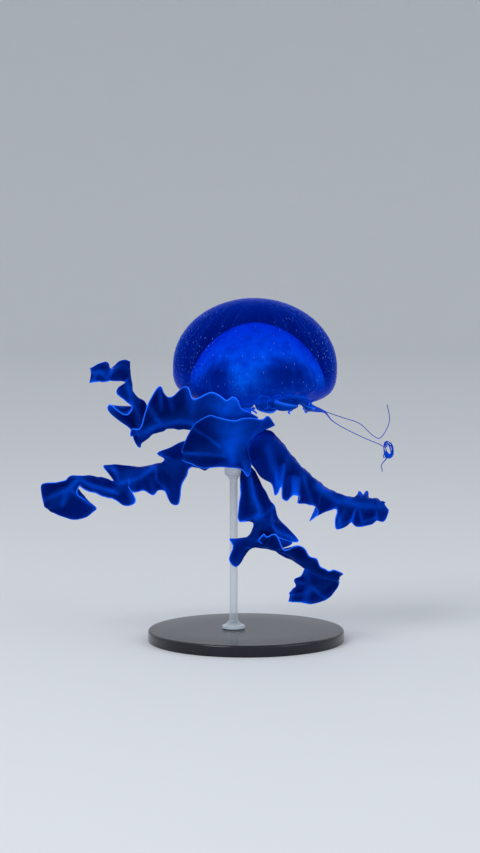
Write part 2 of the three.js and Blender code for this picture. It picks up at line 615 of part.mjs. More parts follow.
spread(TENTACLES.count, (i) => {
  const places = LONG_TENTACLES[i];
  if (!places) {
    const geometry = threadGeometry(curlPath(i), TENTACLES.rootRadius, TENTACLES.tipRadius, 9, TENTACLES.sides);
    node(bell, `tentacle_${i + 1}`, geometry, MATERIALS.tentacle);
    return;
  }
  const path = new THREE.CatmullRomCurve3(places.map(vec));
  const lengths = 2;
  spread(lengths, (part) => {
    const cut = GAP / path.getLength();
    const start = part / lengths + (part ? cut : 0);
    const piece = new THREE.CatmullRomCurve3(
      spread(9, (k) => path.getPointAt(start + (((part + 1) / lengths - start) * k) / 8)),
    );
    const radiusAt = (share) => LONG_RADIUS.root + (LONG_RADIUS.tip - LONG_RADIUS.root) * share;
    const geometry = threadGeometry(piece, radiusAt(start), radiusAt((part + 1) / lengths), 8, TENTACLES.sides);
    node(bell, `tentacle_${i + 1}_${part ? "tip" : "root"}`, geometry, MATERIALS.tentacle);
  });
});

const model = new THREE.Group();
animal.position.z = MOUTH_HEIGHT;
model.add(animal);
const base = node(model, "stand_base", standBase(), MATERIALS.stand);
const rod = node(model, "stand_rod", standRod(MOUTH_HEIGHT + 1 - STAND.thickness - 2 * GAP), MATERIALS.rod);
rod.position.set(-2.6, 0, STAND.thickness + GAP);
base.position.set(5, 0, 0);

// The origin goes to the middle of the underside of everything.
const box = new THREE.Box3().setFromObject(model, true);
const middle = box.getCenter(new THREE.Vector3());
model.position.set(-middle.x, -middle.y, -box.min.z);

export default model;
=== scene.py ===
"""A life-size mauve-stinger jellyfish on a plain display stand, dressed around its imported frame.

Metres, +Z up, +Y away from the viewer of the front. The animal is laid out in millimetres from its
mouth, the lowest point of the trunk, which the stand's rod carries. One skin stands for the whole
animal: the bell, the trunk, the oral arms, the tentacles and the gonads.
"""

import math

import bpy
import numpy as np
from bpy.props import FloatProperty, FloatVectorProperty, IntProperty, PointerProperty
from mathutils import Euler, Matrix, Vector


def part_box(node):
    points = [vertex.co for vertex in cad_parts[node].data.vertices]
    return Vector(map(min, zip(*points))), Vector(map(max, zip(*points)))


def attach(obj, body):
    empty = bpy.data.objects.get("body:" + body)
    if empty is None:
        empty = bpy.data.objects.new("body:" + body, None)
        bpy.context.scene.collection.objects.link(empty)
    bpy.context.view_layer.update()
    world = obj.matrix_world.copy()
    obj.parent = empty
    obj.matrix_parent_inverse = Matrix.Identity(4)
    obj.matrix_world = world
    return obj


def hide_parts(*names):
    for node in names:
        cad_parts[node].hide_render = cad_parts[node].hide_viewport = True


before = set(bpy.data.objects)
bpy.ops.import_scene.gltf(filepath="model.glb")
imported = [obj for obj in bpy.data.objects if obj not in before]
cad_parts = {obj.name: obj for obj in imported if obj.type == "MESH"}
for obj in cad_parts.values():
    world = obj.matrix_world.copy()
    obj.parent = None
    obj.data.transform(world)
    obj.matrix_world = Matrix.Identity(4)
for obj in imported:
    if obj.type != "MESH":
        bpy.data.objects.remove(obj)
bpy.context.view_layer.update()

bl_info = {
    "name": "Jellyfish on a stand",
    "version": (1, 0, 0),
    "blender": (4, 5, 0),
    "location": "3D View > Sidebar > Jellyfish",
    "description": "Dresses a packed jellyfish: one skin of jelly, its warts, its stand and its stage",
    "category": "Add Mesh",
}

# ---- places read from the frame ------------------------------------------------------------------
MM = 0.001
ROD_LOW, ROD_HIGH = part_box("stand_rod")
BASE_LOW, BASE_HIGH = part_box("stand_base")
# The rod ends 0.65 mm above the mouth's level and stands 2.6 mm left of it.
MOUTH = Vector(
    ((ROD_LOW.x + ROD_HIGH.x) / 2 + 2.6 * MM, (ROD_LOW.y + ROD_HIGH.y) / 2, ROD_HIGH.z - 0.65 * MM)
)
FLESH = sorted(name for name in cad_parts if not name.startswith("stand_"))

# ---- the animal's sizes, in millimetres from the mouth --------------------------------------------
BELL_CENTRE = np.array((10.4, 0, 61.5))  # the middle of the widest ring
BELL_TURN = Euler((math.radians(3), math.radians(2), 0))  # the crown's nod and lean
CROWN, SKIRT, SKIRT_POWER = 41.5, 23.5, 3.2
BELL_RADIUS = 49.8
MARGIN_Z = -20.6
LAPPETS, LAPPET_LENGTH, LAPPET_TUCK = 16, 6.5, 3.4
HOLLOW = {"radius": 41.6, "floor": -13.5, "height": 40.3, "power": 1.8}
# The rim is drawn in at two places, [at, spread, how far up, how much its lappets shorten]: behind the
# edge of the upper left arm, and in front on the right, where the lappets are drawn into scrolls.
LIFTS = [[260, 15, 0, 0.8], [305, 30, 5.5, 0]]
LIFTED_BELOW = 6
FOLD_SOFTNESS = 0.34
DROOP = 0.07

# Each step of the trunk is [height, radius, sideways lean].
TRUNK_STEPS = [
    [85.3, 3, 10], [85, 9, 10], [83.8, 13.5, 9.5], [82.6, 15, 9.5], [81.6, 13, 9], [78.5, 9.5, 7.5],
    [72, 7.6, 5.5], [60, 6.6, 3], [44, 6.4, 1.5], [31, 6.6, 0.8], [22, 7.4, -1], [15, 7.4, -2.4],
    [9, 5, -2.6], [4, 4.4, -2.6], [1.6, 3.6, -2.6], [1, 1.5, -2.6],
]

# An arm leaves the trunk at its join. Its rib is one point a station. Each wing is its free edge, as
# turning points [station, x, y, z]. Each crease is [half width, line of points [x, z]], as it is seen
# from the front. sweep carries the arm back for each millimetre of sideways reach. wave is how far its
# waves stand out, and waves how many run along the rib. The free edge shows from free_from on.
ARMS = {
    "arm_upper_left": {
        "free_from": 0,
        "wave": 0.45,
        "join": [-2, 0, 21],
        "rib": [
            [-9, -9, 14], [-19.5, -12, 22], [-29, -15, 27.5], [-39, -18, 28], [-48.5, -21, 25],
            [-57, -23, 18.5], [-60.5, -22, 27.5], [-58.5, -20, 40], [-62.5, -18, 50.5], [-64.5, -17, 60],
            [-69, -16, 63.5], [-77.5, -14, 59.5], [-87.5, -13, 58],
        ],
        "wings": [
            [
                [0, 12.5, -14, 31], [0.3, 7.2, -28, 35], [0.55, 2.4, -42, 38.5], [0.7, 0.3, -50, 43.8],
                [0.82, -2.6, -51, 45.8], [0.98, -6.4, -51, 43.2], [1.2, -11, -50, 46.2],
                [1.48, -16.6, -48, 47.8], [1.8, -26.3, -42, 44], [2.05, -30.2, -38, 51],
                [2.75, -39.5, -26, 44.5], [3.25, -43.5, -29, 46.5], [3.6, -46, -30, 51],
                [4, -51, -31, 44.5], [4.5, -53.5, -32, 37], [5, -57.5, -31, 26.5], [5.4, -63, -27, 25],
                [5.7, -63, -24, 20.5], [6, -54.5, -16, 26.5], [7, -54.5, -14, 39], [8, -62.5, -14, 47],
                [9, -64, -13, 62.5], [9.5, -65.5, -14, 65.5], [10, -70, -13, 66], [10.7, -76, -9, 60.5],
                [11, -78.5, -12, 65], [12, -88.5, -12, 61],
            ],
            [
                [0, -4.5, 2, 8.5], [1, -17.5, -2, 16.5], [2, -28.5, -6, 22.5], [3, -39.5, -10, 24],
                [4, -48, -14, 22], [5, -56.5, -18, 17], [5.4, -58.5, -21, 13.5],
                [5.7, -61.5, -22, 17.5], [6, -63.5, -22, 24.5], [6.25, -70, -22, 29.5],
                [6.45, -75.5, -22, 34], [6.58, -77.5, -23, 37.5], [6.7, -75.8, -24, 39.5],
                [6.82, -72.5, -27, 36.8], [6.97, -68.5, -29, 34], [7.2, -64.5, -31, 34],
                [7.5, -62, -28, 38.5], [7.75, -66.5, -24, 42], [8, -72, -21, 46],
                [8.25, -71.5, -18, 49.5], [8.6, -67.5, -16, 52.5], [10, -74.5, -20, 53.5],
                [12, -88.5, -16, 52.5],
            ],
        ],
        "creases": [
            [1.4, [[-88.7, 60], [-84.5, 58], [-86.3, 53.5]]],
            [1.4, [[-83.8, 60], [-77.8, 55.7], [-75.3, 59.3]]],
            [1.6, [[-66, 52], [-63.2, 42.3], [-58.3, 31.4], [-60, 23]]],
            [2.2, [[-58.3, 23], [-48.6, 26.5], [-34, 28.9], [-21.8, 26.5]]],
            [1.6, [[-53.4, 41], [-48.6, 31.4], [-43.7, 26.5]]],
        ],
        "sweep": -0.08,
        "waves": 11,
    },
    "arm_left": {
        "free_from": 0.5,
        "wave": 0.45,
        "join": [-2.6, 0, 9],
        "rib": [
            [-15.5, 6, 4.5], [-26.5, 9, 3], [-37.5, 10, 2.5], [-48.5, 9, 1.5], [-59.5, 7, -1.5],
            [-68.5, 4, -6], [-74, 1, -13], [-81, -1, -16], [-90.5, -3, -12.5], [-99.5, -4, -8],
            [-107.5, -4, -12.5], [-113, -4, -20], [-117.5, -6, -26],
        ],
        "wings": [
            [
                [0, -19, 9, 11], [1, -31.5, 14, 15.5], [1.5, -42.5, 18, 11], [1.9, -50.5, 20, 6.5],
                [2.3, -46, 17, 3.5], [3, -52, 14, 0.5], [3.5, -59.5, 13, -0.5], [4.6, -79.5, 12, 0.5],
                [5, -84, 11, 0], [5.3, -81.5, 7, -3], [5.7, -77.5, 5, -8.5], [6.3, -79, 7, -8.5],
                [7, -85, 5, -6.5], [8, -92, 3, -5.5], [8.7, -99, 0, -5], [9.2, -104, -4, -5.5],
                [9.7, -107.5, -9, -8.5], [10.7, -119.5, -11, -9.5], [11.2, -121.5, -9, -14],
                [12, -120, -6, -24.5],
            ],
            [
                [0, -20, -4, -1], [1, -29.5, -7, 1], [1.5, -31.5, -8, -4.5], [2, -34.8, -9, -11],
                [2.2, -35.6, -8, -17], [2.45, -37, -5, -22.5], [2.7, -41.5, -1, -22],
                [2.9, -44, 1, -15.5], [3.25, -48.5, -6, -13.5], [3.6, -52, -9, -16],
                [4, -57.5, -6, -14], [4.5, -63.5, -9, -14.5], [4.8, -67.5, -6, -11.5],
                [5.25, -62.5, -12, -19.5], [5.5, -65.5, -12, -22.5], [5.8, -70.5, -9, -22.5],
                [6.2, -74.5, -6, -20], [7, -80.5, -7, -17.5], [8, -91.5, -9, -14],
                [8.6, -97.5, -8, -11], [9.1, -98.5, -10, -17], [9.7, -87, -14, -23],
                [10.1, -88.5, -15, -26.5], [10.6, -94, -14, -30], [11.2, -102.5, -11, -31.5],
                [12, -115, -8, -27.5],
            ],
        ],
        "creases": [
            [1.8, [[-122, -22.7], [-114.2, -19.1], [-103.3, -14.2], [-97.8, -7.5]]],
            [1.5, [[-108.2, -24.6], [-106.3, -18.5], [-103.9, -14]]],
            [1.6, [[-103.9, -14.2], [-97.2, -19.1], [-88.7, -22.7]]],
            [1.3, [[-102, -6.3], [-89.9, -12.4], [-74.1, -17.3]]],
            [1.5, [[-77.8, -1.5], [-72.9, -11.2], [-60.1, -7.5], [-52.2, -1.5]]],
            [1, [[-51, -1.5], [-49.8, -8.8], [-42.5, -16]]],
        ],
        "sweep": 0.2,
        "waves": 10,
    },
    "arm_lower": {
        "free_from": 0.4,
        "wave": 0.35,
        "join": [-2.6, 0, 10],
        "rib": [
            [5.5, -4, -5], [7, -10, -15.5], [10.5, -15, -26], [12, -19, -34.5], [7.5, -23, -42],
            [7.5, -25, -44], [18.5, -27, -44], [27.5, -28, -47], [37.5, -27, -53], [47.5, -25, -60],
            [58.5, -21, -64.5], [54.5, -14, -70.5], [44, -10, -74.5], [31.5, -8, -77.5],
        ],
        "wings": [
            [
                [0, 10, 2, -2.5], [1, 16.5, 0, -14.5], [1.5, 19.5, -3, -20.5], [1.8, 22.5, -6, -23],
                [2.05, 24.5, -8, -30.5], [2.3, 30.5, -17, -36], [2.55, 36.5, -24, -42.5],
                [2.8, 30, -25, -42], [3.1, 21.5, -23, -38.5], [3.35, 18.5, -13, -33],
                [3.6, 21.5, -8, -37], [3.8, 28, -7, -41.5], [4.05, 33, -9, -45.5],
                [4.4, 24, -17, -47.5], [4.8, 13, -33, -41.5], [5.05, 15.5, -35, -36],
                [5.25, 17.5, -36, -38], [5.6, 21.5, -37, -36], [5.85, 24, -37, -37.5],
                [6.2, 27.5, -37, -45], [6.5, 30.5, -36, -45.5], [6.8, 34, -38, -43],
                [7.2, 39, -37, -43.5], [7.8, 43, -35, -50], [8.3, 47, -36, -50.5],
                [8.7, 49.5, -33, -56], [9.2, 54, -33, -58.5], [9.6, 58, -30, -58], [10, 63, -23, -62],
                [10.4, 56, -15, -64.5], [10.7, 46.5, -9, -64], [11, 42, -12, -57],
                [11.3, 38.5, -8, -65], [11.7, 34, -3, -68.5], [12.2, 35, -2, -72.5], [13, 31, -4, -76],
            ],
            [
                [0, 1.5, -10, -1], [1, 1, -16, -14], [2, 0, -22, -29.5], [2.3, 3.5, -26, -30.5],
                [2.7, 9, -20, -30.5], [3, 9, -16, -35.5], [3.3, 7, -18, -40], [3.6, 1.5, -24, -42],
                [3.9, -5, -28, -40.5], [4.1, -3, -31, -44.5], [4.4, -5.5, -33, -52], [4.7, -1.5, -31, -57],
                [4.95, 2, -28, -53], [5.2, 4, -26, -48.5], [5.45, 7.5, -24, -45.5], [5.8, 15, -22, -46],
                [6.2, 21, -22, -47.6], [7, 27.5, -22, -51], [8, 37.5, -22, -56.5], [9, 47.5, -21, -62.8],
                [10, 59, -20, -66.5], [10.4, 61, -16, -70], [11, 57.5, -12, -76], [11.6, 53, -11, -80],
                [12.1, 44.5, -12, -82], [12.6, 38, -14, -80.5], [13, 30.5, -14, -79.5],
            ],
        ],
        "creases": [
            [1.8, [[6.8, -7.5], [9.2, -18.5], [12.9, -25.8], [10.4, -30.6]]],
            [0.9, [[10.4, -30.6], [16.5, -27], [21.4, -23.3]]],
            [0.9, [[20.1, -25.8], [20.8, -34.3], [27.4, -41.6], [34.7, -44]]],
            [2.2, [[40.8, -61], [43.3, -70.8], [40.8, -81.7]]], [1.4, [[43.3, -70.8], [55.4, -80.5]]],
            [1.8, [[43.3, -69.5], [34.1, -70.8], [31.1, -78.1]]],
        ],
        "sweep": 0,
        "waves": 11,
    },
    "arm_right": {
        "free_from": 1.3,
        "wave": 0.3,
        "join": [-2, 0, 18],
        "rib": [
            [9, 8, 15.5], [17.5, 10, 18.5], [27, 11, 13.5], [35, 11, 3], [43.5, 10, -5.5], [52.5, 8, -13.5],
            [62.5, 5, -17.5], [73, 2, -19.5], [81.5, -1, -19.5], [89, -3, -22],
        ],
        "wings": [
            [
                [0, 9, 12, 21], [1, 20, 14, 21], [2, 29, 16, 11], [3, 37, 16, 1], [4, 45.5, 15, -7],
                [5, 54.5, 13, -14], [6, 65.5, 11, -19.5], [6.8, 75, 9, -20], [7.05, 75.5, 9, -16],
                [7.25, 78, 8, -19], [7.5, 80.5, 9, -16], [7.75, 81, 6, -20], [8.3, 87, 4, -21],
                [8.6, 89.5, 2, -23.5], [9, 91.5, 0, -22.5],
            ],
            [
                [0, 6, 2, 7.5], [0.6, 8, -4, 2.5], [1.1, 14, -8, -5.5], [1.5, 20, -10, -9],
                [1.75, 22, -12, -16], [2, 24.5, -15, -14.5], [2.2, 26.5, -13, -10.5],
                [2.45, 26.5, -9, -18], [2.7, 29.5, -5, -20.5], [2.95, 31.5, -8, -19],
                [3.1, 34, -13, -16], [3.3, 37.5, -9, -18], [3.5, 36, -4, -22], [3.9, 41, -2, -22.5],
                [4.3, 46, -6, -23.5], [4.6, 48.5, -10, -25.5], [4.85, 47.5, -13, -28.5],
                [5, 43.5, -12, -31.5], [5.3, 50, -6, -29], [5.7, 57, -2, -26.5], [6.1, 60.5, -7, -26],
                [6.35, 59, -11, -32], [6.6, 60, -13, -37], [6.9, 65.5, -10, -36], [7.15, 69.5, -5, -34],
                [7.4, 72.5, -10, -36], [7.7, 77, -12, -35.5], [8, 82, -8, -35], [8.25, 85.5, -5, -33],
                [8.6, 90, -9, -33], [8.8, 92, -9, -29.5], [9, 93, -7, -26.5],
            ],
        ],
        "creases": [
            [2.6, [[18.3, 9.5], [21.4, -1.5], [24.4, -10]]], [1.3, [[33.5, -7.5], [34.7, -17.3]]],
            [1.5, [[39.6, -7.5], [44.5, -19.7], [47.5, -28.2]]],
            [2, [[48.1, -13.6], [60.3, -22.1], [77.3, -25.8], [91.9, -25.8]]],
            [0.9, [[60.3, -25.8], [62.1, -36], [70, -33.1], [73, -25.8]]],
            [0.9, [[74.9, -27], [76.1, -34.3], [85.8, -31.9], [86.4, -28.2]]],
        ],
        "sweep": 0.2,
        "waves": 10,
    },
    "lip_front": {
        "free_from": 0,
        "wave": 0.5,
        "join": [0, 0, 25],
        "rib": [[12.5, -13, 22], [1.5, -14, 14], [-10.5, -15, 10.5], [-22.5, -16, 9], [-32, -17, 8]],
        "wings": [
            [
                [0, 22.5, -20, 26.5], [0.25, 18.5, -24, 32.5], [0.5, 15, -27, 31.2], [1, 6.5, -33, 32],
                [1.5, -2, -37, 31.2], [2, -12.4, -38, 32.8], [2.4, -17.8, -37, 33.8], [3, -24.8, -31, 29],
                [3.5, -30.5, -24, 20.2], [4, -34, -18, 11],
            ],
            [
                [0, 10.5, -12, 19.5], [0.5, 6, -10, 12.5], [0.9, 8.5, -13, 3.5], [1.1, 6.5, -16, -4],
                [1.4, 2.5, -20, 0.5], [2, -9, -22, 2.5], [2.5, -17.5, -22, 1.5], [3, -24, -22, 2.5],
                [4, -33.5, -18, 6],
            ],
        ],
        "creases": [
            [1, [[-34.5, 10.5], [-20, 9.5], [-8, 9]]], [0.8, [[-27.3, 26], [-18, 20.5], [-11, 14.5]]],
        ],
        "sweep": 0,
        "waves": 4,
    },
    "lip_back": {
        "free_from": 0.2,
        "wave": 0.5,
        "join": [0, 0, 18],
        "rib": [[-14, 12, 15], [-6, 14, 12], [3, 15, 10], [11, 15, 11], [17, 14, 13]],
        "wings": [
            [
                [0, -20, 16, 25], [0.6, -15, 20, 30], [1.2, -7, 24, 29], [1.8, 1, 27, 32],
                [2.4, 8, 26, 29.5], [3, 14, 23, 27], [4, 19, 18, 18],
            ],
            [
                [0, -13, 11, 9], [0.8, -9, 13, 3], [1.6, -2, 17, 1], [2.4, 6, 21, 2.5], [3.2, 13, 20, 4],
                [4, 18, 15, 9],
            ],
        ],
        "creases": [],
        "sweep": 0,
        "waves": 4,
    },
}

# Short tentacles are drawn-in curls. The two long ones run through points from the bell's centre.
TENTACLE_COUNT = 8
SHORT_CURL = {"ring": 31.5, "length": 4.5, "turns": 0.8, "swing": 1.5, "root": 0.9, "tip": 0.35, "beads": 22}
# The long ones' radius, how much is added to it at the root of each, and how many beads each has.
LONG_RADIUS, LONG_ROOTS, LONG_BEADS = 0.21, (1.8, 1.0), 60
# The soft tangle at a long tentacle's tip, and where the tail that hangs from it ends.
CLUMP = {"at": [82.8, -2, -47.6], "wide": 3.1, "tall": 5.0, "turns": 3.2, "tail": [78.8, -2, -61.5]}
LONG_TENTACLES = {
    0: [
        [34.3, 0, -23.8], [38, 0, -25], [43.6, -0.5, -26.5], [48, -4, -31], [56, -5, -35.5],
        [68.5, -5, -41], [76.5, -5, -44], [81, -4, -46], [84, -2, -43.5], [86, -1, -47.5],
        [84, -2, -51.5], [80, -3, -52.5],
    ],
    1: [
        [24.2, 24.2, -23.8], [27, 27, -25], [38, 22, -25.5], [46, 18, -28.5], [55, 15, -31],
        [65.5, 12, -34], [73.5, 9, -40.5], [78, 7, -42], [81.5, 6, -37], [83.5, 6, -30], [81.5, 5, -21],
    ],
}
# The curled edges of the drawn-in lappets, [at, above the margin, half as wide, half as tall, from, to],
# in degrees and millimetres: each runs part of the way round an oval.
FRILLS = [
    [287, 1.5, 3, 4.6, -15, 195], [276, 2.5, 4.2, 4, -10, 190], [278, -1.5, 2.9, 2.6, -170, -10],
    [289, -2.4, 3.6, 1.9, -190, 10], [306, -0.5, 3.4, 3.4, -15, 190], [281.5, -0.8, 0.4, 3.8, -90, 90],
    [298, 1, 2.6, 3, 0, 180],
]
SENSE_ORGAN = {"ring": 36.4, "inwards": 0.6, "length": 2.0, "radius": 0.62}
GONADS = {
    "count": 4, "radius": 2.1, "ring": 22, "span": math.radians(62), "drop": 6.2, "dip": 5, "ruffles": 12,
}


# ---- settings ------------------------------------------------------------------------------------
def length(name, description, default):
    """A length property, in metres."""
    return FloatProperty(
        name=name, description=description, default=default, min=0, unit="LENGTH", precision=5
    )


def share(name, description, default):
    """A number from 0 to 1."""
    return FloatProperty(
        name=name, description=description, default=default, min=0, max=1, subtype="FACTOR"
    )


def colour(name, description, default):
    """A colour property, in linear light."""
    return FloatVectorProperty(
        name=name, description=description, default=default, size=3, subtype="COLOR", min=0
    )


class JellySettings(bpy.types.PropertyGroup):
    """Sizes and colours of the animal."""

    bell_radius: length("Bell radius", "Half the width of the bell at its widest ring", BELL_RADIUS * MM)
    veil_edge: length("Veil thickness", "Thickness of a veil between its rib and its free edge", 0.45 * MM)
    veil_rib: length("Rib thickness", "Thickness of an oral arm at its rib", 2.2 * MM)
    veil_bead: length("Free edge", "Width of the rounded bead along a veil's free edge", 0.75 * MM)
    crimp: length("Crimp", "Height of the fine crimping of the free edges", 0.15 * MM)
    bell_colour: colour("Bell", "Colour of the clear outer jelly of the bell", (0.0, 0.02, 0.35))
    lining_colour: colour("Lining", "Colour of the dense lining of the bell's hollow", (0.0, 0.37, 1.0))
    # Painted shade: the colour of the dark patches low in the lining and of the shaded curls of the lappets.
    painted_shade_colour: colour("Window", "Colour of the thin, dark places low in the lining", (0.0, 0.03, 0.2))
    veil_colour: colour("Veil", "Colour of the thin veils", (0.0, 0.012, 0.2))
    # The colour of dense tissue, which is also where painted highlights on pleats and borders show.
    dense_and_highlight_colour: colour("Fold", "Colour of the thick folds, ribs and borders of the veils", (0.0, 0.08, 0.75))
    # A painted highlight: the free edges are drawn lighter and given more glow than the tissue they bound.
    rim_highlight_colour: colour("Rim", "Colour of the free edges of the veils", (0.01, 0.12, 0.8))
    bell_body: share("Bell density", "How much light the bell's outer surface stops, seen straight on", 0.14)
    veil_body: share("Veil density", "How much light one face of a veil stops, seen straight on", 0.08)


class WartSettings(bpy.types.PropertyGroup):
    """Sizes of the nettle warts on the bell."""

    spacing: length("Spacing", "Least distance between two warts", 2.0 * MM)
    wart_length: length("Length", "Length of a wart along the bell's meridian", 1.3 * MM)
    wart_width: length("Width", "Width of a wart", 0.32 * MM)
    seed: IntProperty(name="Seed", description="Seed of the warts' scatter", default=4)
    wart_colour: colour("Wart", "Colour of the warts", (0.015, 0.1, 0.6))


class StandSettings(bpy.types.PropertyGroup):
    """Sizes and colours of the stand."""

    bevel: length("Base bevel", "Radius of the base's polished upper edge", 1.5 * MM)
    base_colour: colour("Base", "Colour of the base", (0.012, 0.013, 0.017))
    rod_colour: colour("Rod", "Colour of the rod", (0.55, 0.62, 0.7))


class StageSettings(bpy.types.PropertyGroup):
    """The floor, the lights and the camera."""

    floor_colour: colour("Floor", "Colour of the plain floor and backdrop", (0.6, 0.62, 0.65))
    camera_distance: length("Camera distance", "Distance from the camera to the point it looks at", 1.235)
    camera_height: FloatProperty(
        name="Camera elevation", description="Angle of the camera above the level", default=math.radians(4),
        subtype="ANGLE",
    )


# ---- shader and geometry expressions ---------------------------------------------------------------
class Wire:
    """A socket that takes part in Python arithmetic, where each step adds a Math node to its tree."""

    def __init__(self, tree, socket):
        self.tree = tree
        self.socket = socket

    def math(self, operation, *others, clamp=False, first=None):
        """The result of a Math node. A first number goes before this wire instead of after it."""
        node = self.tree.nodes.new("ShaderNodeMath")
        node.operation = operation
        node.use_clamp = clamp
        for slot, value in zip(node.inputs, (self, *others) if first is None else (first, self)):
            plug(self.tree, slot, value)
        return Wire(self.tree, node.outputs[0])

    def __add__(self, other):
        return self.math("ADD", other)

    __radd__ = __add__

    def __sub__(self, other):
        return self.math("SUBTRACT", other)

    def __rsub__(self, other):
        return self.math("SUBTRACT", first=other)

    def __mul__(self, other):
        return self.math("MULTIPLY", other)

    __rmul__ = __mul__

    def __rtruediv__(self, other):
        return self.math("DIVIDE", first=other)

    def __pow__(self, other):
        return self.math("POWER", other)

    def __rpow__(self, other):
        return self.math("POWER", first=other)

    def at_least(self, other):
        return self.math("MAXIMUM", other)

    def at_most(self, other):
        return self.math("MINIMUM", other)

    def clamped(self):
        return self.math("ADD", 0, clamp=True)

    def between(self, low, high):
        """0 below low and 1 above high, with a smooth step between them."""
        return Board(self.tree).out(
            "ShaderNodeMapRange", "Result", {"interpolation_type": "SMOOTHSTEP"},
            {"From Min": low, "From Max": high, "Value": self},
        )


def plug(tree, slot, value):
    """Gives an input socket a link or a plain value."""
    if isinstance(value, Wire):
        tree.links.new(value.socket, slot)
    elif isinstance(value, bpy.types.NodeSocket):
        tree.links.new(value, slot)
    elif slot.type == "RGBA" and not isinstance(value, (int, float)) and len(value) == 3:
        slot.default_value = (*value, 1)
    else:
        slot.default_value = value


class Board:
    """A node tree and the one way in which any other node is added to it."""

    def __init__(self, tree):
        self.tree = tree

    def node(self, kind, settings=None, inputs=None):
        """A new node: its settings first, then the values or links of its inputs."""
        node = self.tree.nodes.new(kind)
        for name, value in (settings or {}).items():
            setattr(node, name, value)
        for name, value in (inputs or {}).items():
            plug(self.tree, node.inputs[name], value)
        return node

    def out(self, kind, output=0, settings=None, inputs=None):
        """One output of a new node."""
        return Wire(self.tree, self.node(kind, settings, inputs).outputs[output])

    def attribute(self, name):
        return self.out("ShaderNodeAttribute", "Fac", {"attribute_name": name})

    def mixed(self, factor, first, second):
        """A colour between two colours."""
        return self.out("ShaderNodeMix", 2, {"data_type": "RGBA"}, {0: factor, 6: first, 7: second})

    def tinted(self, colour_value, factor):
        """A colour scaled by a number."""
        return self.out("ShaderNodeVectorMath", 0, {"operation": "SCALE"}, {0: colour_value, "Scale": factor})

    def noise(self, vector, scale, detail=3, roughness=0.5):
        return self.out(
            "ShaderNodeTexNoise", 0, {"noise_dimensions": "3D"},
            {"Vector": vector, "Scale": scale, "Detail": detail, "Roughness": roughness},
        )

    def stretched(self, vector, scale):
        return self.out("ShaderNodeMapping", 0, None, {"Vector": vector, "Scale": scale})


def new_material(name):
    """A material with an empty tree but for its Principled node, and the board to draw on."""
    material = bpy.data.materials.new(name)
    material.use_nodes = True
    board = Board(material.node_tree)
    shader = next(n for n in material.node_tree.nodes if n.type == "BSDF_PRINCIPLED")
    return material, board, shader


def feed(board, shader, **values):
    """Sets or links sockets of a shader, by their names with the spaces as underscores."""
    for name, value in values.items():
        plug(board.tree, shader.inputs[name.replace("_", " ")], value)


def seen_at_a_slant(board, body):
    """How much a film of jelly stops when it is crossed at a slant: more than straight on, as on glass."""
    facing = board.out("ShaderNodeLayerWeight", "Facing", None, {"Blend": 0.5})
    path = 1 / (1 - facing).at_least(0.07)
    return (1 - (1 - body) ** path).clamped()


# ---- materials -----------------------------------------------------------------------------------
JELLY_GLOSS = 0.015  # under water jelly has hardly any


def jelly_material(name, look):
    """Wet, translucent jelly whose tissue is described by the skin's own attributes.

    tissue is how dense it is, stop how much light one face stops, rim how near a free edge, where a
    painted highlight runs, shade where painted shade darkens it, glow how much painted glow it gives
    off in place of light scattered inside it, and deep where it is the lining.
    Its depth tints what is behind it by plain absorption.
    """
    material, board, shader = new_material(name)
    where = board.node("ShaderNodeTexCoord").outputs["Object"]
    lie = board.out("ShaderNodeUVMap", 0, {"uv_map": "Lie"})
    tissue, stop, rim, glow, shade, deep = (
        board.attribute(key) for key in ("tissue", "stop", "rim", "glow", "shade", "deep")
    )
    clouds = board.noise(where, look["cloud_scale"], 4, 0.6)
    fibres = board.noise(board.stretched(lie, look["fibre_scale"]), 1, 3, 0.55)
    lines = board.noise(board.stretched(lie, look["line_scale"]), 1, 1, 0.4).between(0.54, 0.66)
    drawn = 1 - glow.clamped()
    lines = lines * look["lines"] * (tissue + 0.3) * drawn**3
    grain = (fibres - 0.5) * look["fibre_depth"] * drawn
    grain = grain + (clouds - 0.5) * (look["cloud_depth"] + deep * look["cloud_lining"])
    dense = (tissue + grain).clamped()
    thick = board.mixed(deep, look["thick"], look["lining"])
    tint = board.mixed((dense + lines).clamped(), look["thin"], thick)
    # Painted shade darkens the tint where shade is set, and a painted highlight lightens it towards the free
    # edges.
    tint = board.mixed(shade, tint, look["dark"])
    tint = board.mixed(rim, tint, look["edge"])
    # Painted glow: the jelly gives off light of its own tint, more where it is dense, where glow is set and
    # along its free edges, in place of light scattered inside it.
    light = look["glow_thin"] + dense * look["glow_dense"]
    light = light + glow * look["glow_more"] + rim * look["glow_rim"]
    body = (look["body"] + stop + lines * 0.4 + rim * 0.5 + shade * 0.4).at_most(0.97)
    fine = board.noise(where, 700, 2, 0.5)
    bump = board.out(
        "ShaderNodeBump", 0, None, {"Strength": 0.15, "Distance": 0.0003, "Height": fine + fibres}
    )
    feed(
        board, shader, Base_Color=tint, Roughness=(0.16 + clouds * 0.14), IOR=1.33,
        Specular_IOR_Level=JELLY_GLOSS, Specular_Tint=(0.03, 0.2, 1.0), Alpha=seen_at_a_slant(board, body),
        Emission_Color=board.tinted(tint, light.clamped()), Emission_Strength=look["strength"], Normal=bump,
    )
    depth = board.node(
        "ShaderNodeVolumeAbsorption", None, {"Color": look["depth"], "Density": look["density"]}
    )
    output = next(n for n in material.node_tree.nodes if n.type == "OUTPUT_MATERIAL")
    board.tree.links.new(depth.outputs[0], output.inputs["Volume"])
    return material


